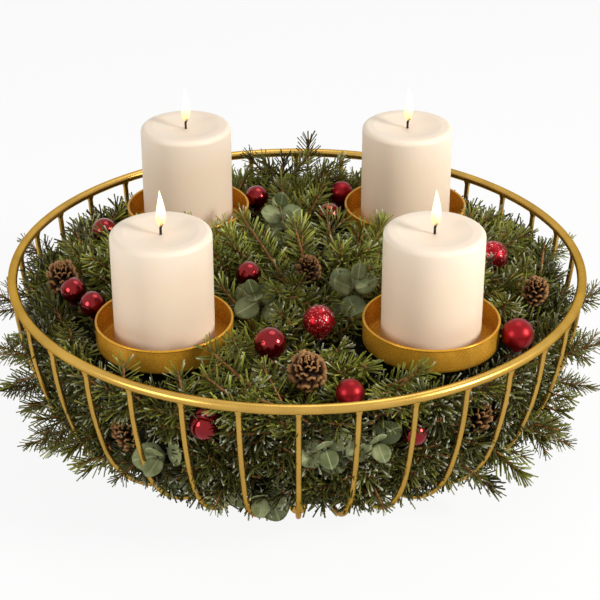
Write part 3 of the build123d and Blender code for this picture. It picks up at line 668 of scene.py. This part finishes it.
class Greens:
    """A growing group of twigs that becomes one piece."""

    def __init__(self, name):
        self.name = name
        self.shape = bmesh.new()

    def plant(self, template, root, way, roll, size, shade, frost):
        """Add one twig, with its green from 0 for dark to 1 for fresh, partly random and partly painted light
        and shade by where it grows, and its share of frosted needles.
        """
        stamp(self.shape, template, pose(root, way, roll, size), {
            "shade": lambda own: np.clip(own + shade, 0.0, 1.0),
            "frost": lambda own: np.where(own < frost, FROST_WEIGHT, 0.0).astype(np.float32)})

    def finish(self, finishes, stands_for=()):
        """Make the group one piece on the basket."""
        add_piece(self.name, self.shape, finishes, BASKET, stands_for)


def node_twigs(node, outward):
    """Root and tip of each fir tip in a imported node, from the long axis of each separate solid."""
    shape = bmesh.new()
    shape.from_mesh(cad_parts[node].data)
    bmesh.ops.remove_doubles(shape, verts=shape.verts, dist=0.001 * MM)
    shape.verts.ensure_lookup_table()
    shape.verts.index_update()
    seen = [False] * len(shape.verts)
    twigs = []
    for start in shape.verts:
        if seen[start.index]:
            continue
        seen[start.index] = True
        group, queue = [], [start]
        while queue:
            vertex = queue.pop()
            group.append(tuple(vertex.co))
            for edge in vertex.link_edges:
                other = edge.other_vert(vertex)
                if not seen[other.index]:
                    seen[other.index] = True
                    queue.append(other)
        points = np.array(group)
        middle = points.mean(axis=0)
        axis = np.linalg.svd(points - middle, full_matrices=False)[2][0]
        lead = np.array((middle[0], middle[1], 0.0)) if outward else np.array((0.0, 0.0, 1.0))
        if axis.dot(lead) < 0:
            axis = -axis
        along = (points - middle).dot(axis)
        twigs.append((Vector(middle + axis * along.min()), Vector(middle + axis * along.max())))
    shape.free()
    return twigs


def is_clear(points, spans, room):
    """Whether points along a twig keep a distance from every span."""
    return all(span_gap(point, start, end) > reach + room for point in points for start, end, reach in spans)


def crown_place(number, total, draw):
    """A place and direction for a twig over the bed, flatter towards the ring."""
    share = math.sqrt((number + 0.5) / total)
    radius = 0.985 * BED_RADIUS * share
    angle = number * GOLDEN_TURN
    root = ring_point(radius, angle, bed_height(radius) - ROOT_DEPTH)
    rise = draw.uniform(8, 42) + 18 * (1 - share)
    return root, heading(angle + draw.gauss(0.0, 1.0), math.radians(rise))


def side_place(number, total, draw):
    """A place and direction for a twig behind the ribs: some point out, some lie along the wall."""
    angle = number * GOLDEN_TURN
    z = BASE_Z + SIDE_ROOT_RISE + (BED_EDGE_Z - SIDE_ROOT_RISE - BASE_Z) * (number + 0.5) / total
    if number % 3:
        depth = draw.uniform(18, 24)
        swing = draw.gauss(0.0, 0.45)
        rise = draw.uniform(-25, 50)
    else:
        depth = draw.uniform(12, 16)
        swing = draw.choice((-1, 1)) * draw.uniform(0.9, 1.6)
        rise = draw.uniform(-30, 60)
    radius = wall_radius(max(z, BASE_Z + 6 * MM)) - depth * MM
    root = ring_point(radius, angle, z)
    return root, heading(angle + swing, math.radians(rise))


def inside_bowl(point, room):
    """Whether a point stays inside the ribs and the top ring by some room."""
    radius = math.hypot(point.x, point.y)
    ceiling = FRONT_CEILING if point.y < -0.45 * RING_RADIUS else BACK_CEILING
    if point.z > ceiling:
        return radius + room < CROWN_SHARE * RING_RADIUS
    return point.z >= GREENS_FLOOR and radius + room < wall_radius(point.z) - 2 * MM


def free_reach(root, way, spans, most, room):
    """How far a twig can grow from its root before it meets the bowl, a cup or a decoration."""
    step, reach = 3 * MM, 0.0
    while reach < most:
        point = root + way * (reach + step)
        if not inside_bowl(point, room) or near_cup(point, TWIG_CUP_ROOM):
            break
        if reach > 6 * MM and not is_clear([point], spans, room / 2):
            break
        reach += step
    return reach


# One operator for each group of pieces

class BOWL_OT_metalwork(bpy.types.Operator):
    """Paint the wire bowl, its stems and cups gold, and leave the spikes and picks bare"""
    bl_idname = "bowl.metalwork"
    bl_label = "Metalwork"

    def execute(self, context):
        gold = gold_paint("gold paint on wire", 0.9, WIRE_REFLECTION_TINT)
        sheet = gold_paint("gold paint on sheet", 0.35, SHEET_REFLECTION_TINT)
        steel = drawn_steel()
        for node in ("top_ring", "base_ring", "ribs", "ball_feet"):
            paint(node, gold)
        for corner in CORNERS:
            paint(f"stem_{corner}", gold)
            paint(f"cup_{corner}", sheet)
        for node in ("candle_spikes", "bauble_picks", "cone_picks"):
            paint(node, steel)
        return {"FINISHED"}


class BOWL_OT_candles(bpy.types.Operator):
    """Finish the candles and wicks, and make a flame round each wick"""
    bl_idname = "bowl.candles"
    bl_label = "Candles"

    def execute(self, context):
        low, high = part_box("candle_front_left")
        wax = ivory_wax(low.z, high.z)
        char = burnt_wick()
        flame_low, flame_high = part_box("flame_front_left")
        foot_z = flame_low.z - FLAME_SINK
        glow = flame_glow(foot_z, flame_high.z)
        for corner in CORNERS:
            paint(f"candle_{corner}", wax)
            paint(f"wick_{corner}", char)
            low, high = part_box(f"flame_{corner}")
            middle = (low + high) / 2
            shape = bmesh.new()
            bmesh.ops.create_uvsphere(shape, u_segments=20, v_segments=16, radius=1.0)
            for vertex in shape.verts:
                share = (vertex.co.z + 1) / 2
                spread = math.sin(math.pi * share ** 0.62) ** 0.9 * (1 - 0.35 * share)
                flat = Vector((vertex.co.x, vertex.co.y, 0))
                flat = flat.normalized() if flat.length > 1e-6 else flat
                vertex.co = flat * spread * (high.x - low.x) * 0.5 + Vector((0, 0, share))
                vertex.co.z = foot_z + share * (high.z - foot_z)
                vertex.co.x += middle.x + 0.6 * MM * math.sin(share * 3.0)
                vertex.co.y += middle.y
            for face in shape.faces:
                face.smooth = True
            add_piece(
                f"flame_glow_{corner}", shape, [glow], f"{corner}_candle", [f"flame_{corner}"])
        return {"FINISHED"}


class BOWL_OT_baubles(bpy.types.Operator):
    """Give each bauble its shiny, satin or glitter finish"""
    bl_idname = "bowl.baubles"
    bl_label = "Baubles"

    def execute(self, context):
        makers = {"shiny": shiny_red, "satin": satin_red, "glitter": glitter_red}
        for kind, numbers in BAUBLE_FINISHES.items():
            finish = makers[kind]()
            for number in numbers:
                paint(f"bauble_{number:02d}", finish)
        return {"FINISHED"}


class BOWL_OT_pine_cones(bpy.types.Operator):
    """Build the open pine cones from scales set in a spiral"""
    bl_idname = "bowl.pine_cones"
    bl_label = "Pine cones"

    def scale_mesh(self):
        """One scale along +X, narrow at its foot, cupped, and rounded at its tip."""
        shape = bmesh.new()
        along = shape.verts.layers.float.new("along")
        bmesh.ops.create_grid(shape, x_segments=4, y_segments=2, size=0.5)
        for vertex in shape.verts:
            share = vertex.co.x + 0.5
            swell = 0.62 * math.sin(min(1.0, share * 1.25) * math.pi / 2)
            half = 0.30 + swell - 0.34 * max(0.0, share - 0.72) / 0.28
            lift = 0.26 * share ** 2 - 0.10 * (vertex.co.y * 2) ** 2 * share
            vertex.co = Vector((share, vertex.co.y * half, lift))
        bmesh.ops.solidify(shape, geom=shape.faces[:], thickness=0.10)
        for vertex in shape.verts:
            vertex[along] = min(1.0, max(0.0, vertex.co.x))
        bmesh.ops.recalc_face_normals(shape, faces=shape.faces)
        for face in shape.faces:
            face.smooth = True
        return keep_mesh("cone scale", shape)

    def execute(self, context):
        wood = cone_scale()
        scale = self.scale_mesh()
        for index, node in enumerate(CONES):
            draw = random.Random(CONE_SEED + index)
            points = node_points(node)
            middle = Vector((points.max(axis=0) + points.min(axis=0)) / 2)
            side = math.hypot(middle.x, middle.y) > NEAR_RING and abs(middle.y) > 0.3 * RING_RADIUS
            facing = math.atan2(middle.x, -middle.y) if side and node in OUTWARD_CONES else 0.0
            way = heading(facing, CONE_RISE)
            along = (points - np.array(middle)).dot(np.array(way))
            root = middle + way * along.min()
            length = along.max() - along.min()
            shape = bmesh.new()
            shape.verts.layers.float.new("along")
            add_rod(shape, 7, 3.4 * MM, 1.2 * MM, length * 0.9, pose(root, way))
            for number in range(SCALE_COUNT):
                share = number / (SCALE_COUNT - 1)
                height = length * (0.05 + 0.80 * share)
                reach = 0.44 * length * (0.80 + 0.55 * share - 1.10 * share ** 2.4)
                tilt = math.radians(12 + 62 * share ** 1.4 + draw.uniform(-6, 6))
                size = max(0.15 * length, reach * draw.uniform(0.94, 1.08))
                stamp(shape, scale, (
                    pose(root, way) @ Matrix.Translation((0, 0, height))
                    @ Matrix.Rotation(number * GOLDEN_TURN, 4, "Z") @ Matrix.Rotation(-tilt, 4, "Y")
                    @ Matrix.Diagonal((size, size * 0.5, size, 1))))
            add_piece(f"open_{node}", shape, [wood], BASKET, [node])
        return {"FINISHED"}


class BOWL_OT_eucalyptus(bpy.types.Operator):
    """Build the eucalyptus sprigs with cupped round leaves in pairs"""
    bl_idname = "bowl.eucalyptus"
    bl_label = "Eucalyptus"

    def leaf_mesh(self):
        """One round leaf along +X with a short stalk end, a midrib fold and a cupped blade."""
        shape = bmesh.new()
        layer = shape.loops.layers.uv.new("leaf")
        shape.verts.layers.float.new("age")
        bmesh.ops.create_grid(shape, x_segments=6, y_segments=6, size=1.0)
        for face in shape.faces:
            face.smooth = True
            for loop in face.loops:
                loop[layer].uv = (loop.vert.co.x / 2 + 0.5, loop.vert.co.y / 2 + 0.5)
        for vertex in shape.verts:
            x, y = vertex.co.x, vertex.co.y
            round_x = x * math.sqrt(1 - y * y / 2)
            round_y = y * math.sqrt(1 - x * x / 2)
            point = 0.06 * max(0.0, round_x) ** 6
            dish = 0.06 * (round_x ** 2 + round_y ** 2) + 0.08 * abs(round_y)
            vertex.co = Vector((0.5 + 0.5 * round_x + point, 0.47 * round_y, dish * 0.5))
        bmesh.ops.solidify(shape, geom=shape.faces[:], thickness=0.03)
        bmesh.ops.recalc_face_normals(shape, faces=shape.faces)
        return keep_mesh("eucalyptus leaf", shape)

    def execute(self, context):
        finishes = [eucalyptus_leaf(), eucalyptus_twig()]
        leaf = self.leaf_mesh()
        for index, node in enumerate(EUCALYPTUS):
            draw = random.Random(LEAF_SEED + index)
            points = node_points(node)
            middle = points.mean(axis=0)
            far = np.linalg.norm(points - middle, axis=1)
            foot = Vector(points[far > far.max() - 0.3 * MM].mean(axis=0))
            way = (Vector(middle) - foot).normalized()
            length = float(((points - np.array(foot)).dot(np.array(way))).max())
            shape = bmesh.new()
            shape.loops.layers.uv.new("leaf")
            shape.verts.layers.float.new("age")
            add_rod(shape, 6, 1.0 * MM, 0.5 * MM, length - 4 * MM, pose(foot, way), slot=1)
            level = Vector((middle[0], middle[1], 0))
            on_top = level.length < 0.5 * RING_RADIUS
            light = Vector((0, -0.8, 0.6)) if on_top else level.normalized() + UP * 0.3
            across = way.orthogonal().normalized()
            growth = 1.0 if on_top else SIDE_LEAF_GROWTH
            for pair, (share, lean, size) in enumerate(LEAF_PAIRS):
                height = length * share
                for side in (0.0, math.pi):
                    turn = math.radians(78 * pair + draw.uniform(-14, 14)) + side
                    tilt = math.radians(lean + draw.uniform(-8, 8))
                    flat = Matrix.Rotation(turn, 3, way) @ across
                    along = (flat * math.cos(tilt) + way * math.sin(tilt)).normalized()
                    facing = (light - along * light.dot(along) + way * 0.25).normalized()
                    facing = (facing - along * facing.dot(along)).normalized()
                    turned = Matrix((along, facing.cross(along), facing)).transposed().to_4x4()
                    grown = size * growth * MM * draw.uniform(0.9, 1.06)
                    place = Matrix.Translation(foot + way * height + along * 1.5 * MM)
                    age = max(0.0, draw.uniform(-0.5, 0.75))
                    place = place @ turned @ Matrix.Scale(grown, 4)
                    stamp(shape, leaf, place, {"age": lambda own: own + age})
            add_piece(f"leafy_{node}", shape, finishes, BASKET, [node])
        return {"FINISHED"}


class BOWL_OT_fir_bed(bpy.types.Operator):
    """Build the uneven mass of packed cuttings under the twigs, painted dark as painted shade"""
    bl_idname = "bowl.fir_bed"
    bl_label = "Fir bed"

    def execute(self, context):
        shape = bmesh.new()
        inset = 15 * MM
        outline = [Vector((0, 0, BED_LOW.z)), Vector((BASE_RADIUS - 8 * MM, 0, BED_LOW.z))]
        steps = 10
        for step in range(steps + 1):
            z = BED_LOW.z + 4 * MM + (BED_EDGE_Z - 8 * MM - BED_LOW.z) * step / steps
            outline.append(Vector((wall_radius(z) - inset, 0, z)))
        rim = outline[-1].x
        for step in range(1, steps + 1):
            radius = rim * (1 - step / steps)
            outline.append(Vector((radius, 0, bed_height(radius) - ROOT_DEPTH)))
        verts = [shape.verts.new(point) for point in outline]
        edges = [shape.edges.new(pair) for pair in zip(verts, verts[1:])]
        bmesh.ops.spin(
            shape, geom=verts + edges, axis=(0, 0, 1), cent=(0, 0, 0), angle=math.tau, steps=90,
            use_merge=True)
        bmesh.ops.remove_doubles(shape, verts=shape.verts, dist=0.01 * MM)
        for vertex in shape.verts:
            lump = noise.noise(vertex.co * per_mm(16)) * 3.0 * MM
            vertex.co += vertex.co.normalized() * lump
            vertex.co.z = max(vertex.co.z, BED_LOW.z)
        bmesh.ops.recalc_face_normals(shape, faces=shape.faces)
        add_piece("fir_bed_mass", shape, [cuttings_in_painted_shade()], BASKET, ["fir_bed"])
        return {"FINISHED"}


class BOWL_OT_fir_twigs(bpy.types.Operator):
    """Plant fir twigs over the bed, behind the ribs and out between them"""
    bl_idname = "bowl.fir_twigs"
    bl_label = "Fir twigs"

    def execute(self, context):
        sizes = context.scene.bowl_greenery
        draw = random.Random(sizes.seed)
        finishes = [
            fir_needle("fir needle upper side", 1.0, 0.25),
            fir_needle("fir needle underside", 1.45, 0.2),
            fir_bark()]
        lengths = [sizes.twig_length * share for share in TWIG_SHARES]
        twigs = [
            [twig_template(length, 10 * row + 1, 0.6), twig_template(length, 10 * row + 2)]
            for row, length in enumerate(lengths)]
        side_twig = twig_template(0.46 * sizes.twig_length, 3, 0.6)
        branch = twig_template(sizes.twig_length, 4, 0.6, (
            (side_twig, 0.28, 0.1, 1.0), (side_twig, 0.40, math.pi, 0.95), (side_twig, 0.6, 0.1, 0.75)))
        spans = decoration_spans()
        sprigs = [(Vector(root) * MM, Vector(tip) * MM) for root, tip in SPRIGS]
        for root, tip in sprigs:
            for share in (0.4, 0.7, 1.0):
                point = root.lerp(tip, share)
                spans.append((point, point + SIGHT * SPRIG_VIEW_REACH * MM, SPRIG_VIEW_ROOM * MM))

        def colouring(middle=0.5):
            """Random green and frost of one twig, round a middle green that is painted light or painted shade
            by the twig's place.
            """
            shade = min(1.0, max(0.05, draw.gauss(middle, 0.2)))
            return shade, draw.choice(FROST_SHARES)

        for node, outward, name in (
                ("fir_tips_top", False, "fir_twigs_standing"),
                ("fir_tips_outer", True, "fir_twigs_reaching")):
            greens = Greens(name)
            for root, tip in node_twigs(node, outward):
                way = (tip - root).normalized()
                size = (tip - root).length / lengths[1]
                front = outward and abs(root.x) < 0.6 * RING_RADIUS and root.y < 0
                near_ring = math.hypot(tip.x, tip.y) > NEAR_RING and root.y < 0.6 * RING_RADIUS
                if front or (near_ring and not outward):
                    template = twigs[2][0]
                else:
                    template = branch if outward else twigs[1][0]
                roll = roll_towards(way, UP) + draw.gauss(0.0, 0.4)
                greens.plant(template, root - way * 3 * MM, way, roll, min(1.0, size), *colouring())
            greens.finish(finishes, [node])

        groups = {}
        long_length = 1.4 * sizes.twig_length
        kinds = [(long_length, twig_template(long_length, 6, 0.5))]
        kinds += [(length, pair[0]) for length, pair in zip(lengths, twigs)]
        for root, tip in sprigs:
            span = (tip - root).length
            length, template = min(kinds, key=lambda kind: abs(kind[0] - span))
            way = (tip - root).normalized()
            # Painted light: the sprigs on top get a light green
            groups.setdefault("fir_twigs_sprigs", []).append(
                (template, root, way, roll_towards(way, SIGHT), span / length, SPRIG_GREEN_PAINTED_LIGHT, SPRIG_FROST))

        def grow(group, root, way, face, most, room):
            """Put a twig of the length that fits into a group, with its parting towards a face direction."""
            reach = free_reach(root, way, spans, most, room)
            roll = roll_towards(way, face) + draw.gauss(0.0, 0.4)
            variant = draw.randrange(3)
            # Painted light and shade: crown twigs get a lighter middle green, side twigs a darker one
            colours = colouring(CROWN_GREEN_PAINTED_LIGHT if face == UP else SIDE_GREEN_PAINTED_SHADE)
            fitting = [row for row, length in enumerate(lengths) if length <= reach * 1.12]
            if reach < SHORTEST_TWIG or not fitting:
                return
            row = fitting[0]
            template = branch if row == 0 and variant == 2 else twigs[row][variant % 2]
            groups.setdefault(group, []).append(
                (template, root, way, roll, min(1.1, reach / lengths[row]), *colours))

        for number in range(sizes.crown_tries):
            root, way = crown_place(number, sizes.crown_tries, draw)
            quarter = int((math.atan2(root.y, root.x) + math.pi) / (math.pi / 2)) % 4
            most = sizes.twig_length * draw.uniform(0.6, 1.0)
            room = (12 if root.y > -0.6 * RING_RADIUS else 5) * MM
            grow(f"fir_twigs_crown_{quarter + 1}", root, way, UP, most, room)
        for number in range(sizes.side_tries):
            root, way = side_place(number, sizes.side_tries, draw)
            part = int((math.atan2(root.y, root.x) + math.pi) / (math.pi / 3)) % 6
            outward = Vector((root.x, root.y, 0)).normalized()
            most = sizes.twig_length * draw.uniform(0.4, 0.7)
            grow(f"fir_twigs_side_{part + 1}", root, way, outward, most, 3 * MM)
        # Two fifths of the tufts stand on the crown, the rest behind the ribs
        tuft = twig_template(TUFT_LENGTH, 5)
        for number in range(sizes.tuft_tries):
            over = number % 5 < 2
            root, way = (crown_place if over else side_place)(number, sizes.tuft_tries, draw)
            outward = UP if over else Vector((root.x, root.y, 0)).normalized()
            way = (way + outward).normalized()
            small = root.z < BASE_Z + 36 * MM or near_cup(root + way * 10 * MM, 14 * MM)
            root = root - way * 4 * MM
            tip = root + way * (8 if small else 14) * MM
            hidden = not is_clear([tip], spans, -4 * MM) or near_cup(tip, TUFT_CUP_ROOM)
            if inside_bowl(tip, 4 * MM) and not hidden:
                # Painted shade: tufts get a dark middle green
                roll = draw.uniform(0, math.tau)
                groups.setdefault("fir_twigs_tufts", []).append(
                    (tuft, root, way, roll, 0.55 if small else 1.0, *colouring(TUFT_GREEN_PAINTED_SHADE)))
        # Twigs that reach out in the middle of a gap between two ribs, but not across the front
        gap = math.tau / RIB_COUNT
        for number in range(sizes.fringe_tries):
            angle = (math.floor(number * GOLDEN_TURN / gap) + 0.5) * gap
            z = BASE_Z + FRINGE_RISE + FRINGE_SPAN * draw.random()
            radius = wall_radius(z) - FRINGE_DEPTH
            root = ring_point(radius, angle, z)
            way = heading(angle + draw.uniform(-0.12, 0.12), math.radians(draw.uniform(-32, 12)))
            size = draw.uniform(0.9, 1.1)
            roll = draw.uniform(0, math.tau)
            colours = colouring()
            points = [root + way * (lengths[1] * size * share) for share in (0.3, 0.6, 1.0)]
            front = abs((angle + math.pi) % math.tau - math.pi) < FRONT_HALF_ANGLE
            if front or not is_clear(points, spans, 1 * MM):
                continue
            groups.setdefault("fir_twigs_fringe", []).append((twigs[1][0], root, way, roll, size, *colours))
        for name in sorted(groups):
            greens = Greens(name)
            for entry in groups[name]:
                greens.plant(*entry)
            greens.finish(finishes)
        return {"FINISHED"}


class BOWL_OT_stage(bpy.types.Operator):
    """Set up the pale floor, the soft studio light and the photograph's camera"""
    bl_idname = "bowl.stage"
    bl_label = "Stage"

    def add_light(self, name, place, size, power, colour):
        """A round soft lamp that looks at the bowl."""
        lamp = bpy.data.lights.new(name, "AREA")
        lamp.shape = "DISK"
        lamp.size = size
        lamp.energy = power
        lamp.color = colour
        light = bpy.data.objects.new(name, lamp)
        light.location = place
        light.rotation_euler = (CAMERA_AIM - Vector(place)).to_track_quat("-Z", "Y").to_euler()
        bpy.context.scene.collection.objects.link(light)

    def seen(self, tree):
        """1 for what the camera sees, also in metal or through the flames, and 0 for light on the bowl."""
        path = add_node(tree, "LightPath")
        direct = add_node(tree, "Math", {
            0: path.outputs["Is Camera Ray"], 1: path.outputs["Is Glossy Ray"]}, operation="MAXIMUM")
        clear = add_node(tree, "Math", {
            0: direct, 1: path.outputs["Is Transmission Ray"]}, operation="MAXIMUM")
        return clear

    def add_floor(self):
        """A pale floor that shows nearly white and keeps the bowl's shadow."""
        finish, tree = start_finish("pale studio floor")
        share = add_node(tree, "Math", {0: self.seen(tree), 1: FLOOR_WHITE}, operation="MULTIPLY")
        matt = add_node(tree, "BsdfDiffuse", {"Color": (0.9, 0.9, 0.9, 1.0)})
        white = add_node(tree, "Emission", {"Color": (1.0, 1.0, 1.0, 1.0), "Strength": 1.0})
        mixed = add_node(tree, "MixShader", {0: share, 1: matt, 2: white})
        add_node(tree, "OutputMaterial", {"Surface": mixed})
        shape = bmesh.new()
        bmesh.ops.create_grid(shape, x_segments=1, y_segments=1, size=6.0)
        mesh = keep_mesh("studio floor", shape)
        mesh.transform(Matrix.Translation((0, 0, -0.2 * MM)))
        mesh.materials.append(finish)
        floor = bpy.data.objects.new("studio_floor", mesh)
        bpy.context.scene.collection.objects.link(floor)

    def execute(self, context):
        scene = context.scene
        scene.view_settings.view_transform = "Standard"
        world = bpy.data.worlds.new("studio")
        scene.world = world
        world.use_nodes = True
        tree = world.node_tree
        tree.nodes.clear()
        level = add_node(tree, "MapRange", {"Value": self.seen(tree), "To Min": SKY_LIGHT, "To Max": 1.0})
        sky = add_node(tree, "Background", {"Color": (1.0, 1.0, 1.0, 1.0), "Strength": level})
        add_node(tree, "OutputWorld", {"Surface": sky})

        self.add_floor()
        for lamp in LAMPS:
            self.add_light(*lamp)

        lens = bpy.data.cameras.new("photo camera")
        lens.lens = CAMERA_LENS
        lens.sensor_width = CAMERA_SENSOR
        camera = bpy.data.objects.new("photo camera", lens)
        camera.location = CAMERA_PLACE
        camera.rotation_euler = (-SIGHT).to_track_quat("-Z", "Y").to_euler()
        scene.collection.objects.link(camera)
        scene.camera = camera
        return {"FINISHED"}


class BOWL_PT_panel(bpy.types.Panel):
    """Lists the steps that dress the candle bowl"""
    bl_idname = "BOWL_PT_panel"
    bl_label = "Advent bowl"
    bl_space_type = "VIEW_3D"
    bl_region_type = "UI"
    bl_category = "Advent bowl"

    def draw(self, context):
        for settings in (context.scene.bowl_greenery, context.scene.bowl_colours):
            for name in settings.__annotations__:
                self.layout.prop(settings, name)
        for step in OPERATORS:
            self.layout.operator(step.bl_idname)


GROUPS = (BowlGreenery, BowlColours)
OPERATORS = (
    BOWL_OT_stage, BOWL_OT_metalwork, BOWL_OT_candles, BOWL_OT_baubles, BOWL_OT_pine_cones,
    BOWL_OT_eucalyptus, BOWL_OT_fir_bed, BOWL_OT_fir_twigs,
)


def register():
    """Register the classes and hang their settings on the scene."""
    for made in (*GROUPS, *OPERATORS, BOWL_PT_panel):
        bpy.utils.register_class(made)
    bpy.types.Scene.bowl_greenery = bpy.props.PointerProperty(type=BowlGreenery)
    bpy.types.Scene.bowl_colours = bpy.props.PointerProperty(type=BowlColours)


def unregister():
    """Take the settings and the classes away again."""
    del bpy.types.Scene.bowl_colours
    del bpy.types.Scene.bowl_greenery
    for made in reversed((*GROUPS, *OPERATORS, BOWL_PT_panel)):
        bpy.utils.unregister_class(made)


def main():
    """Dress the bowl step by step."""
    register()
    bpy.ops.bowl.stage()
    bpy.ops.bowl.metalwork()
    bpy.ops.bowl.candles()
    bpy.ops.bowl.baubles()
    bpy.ops.bowl.pine_cones()
    bpy.ops.bowl.eucalyptus()
    bpy.ops.bowl.fir_bed()
    bpy.ops.bowl.fir_twigs()


if __name__ == "__main__":
    main()
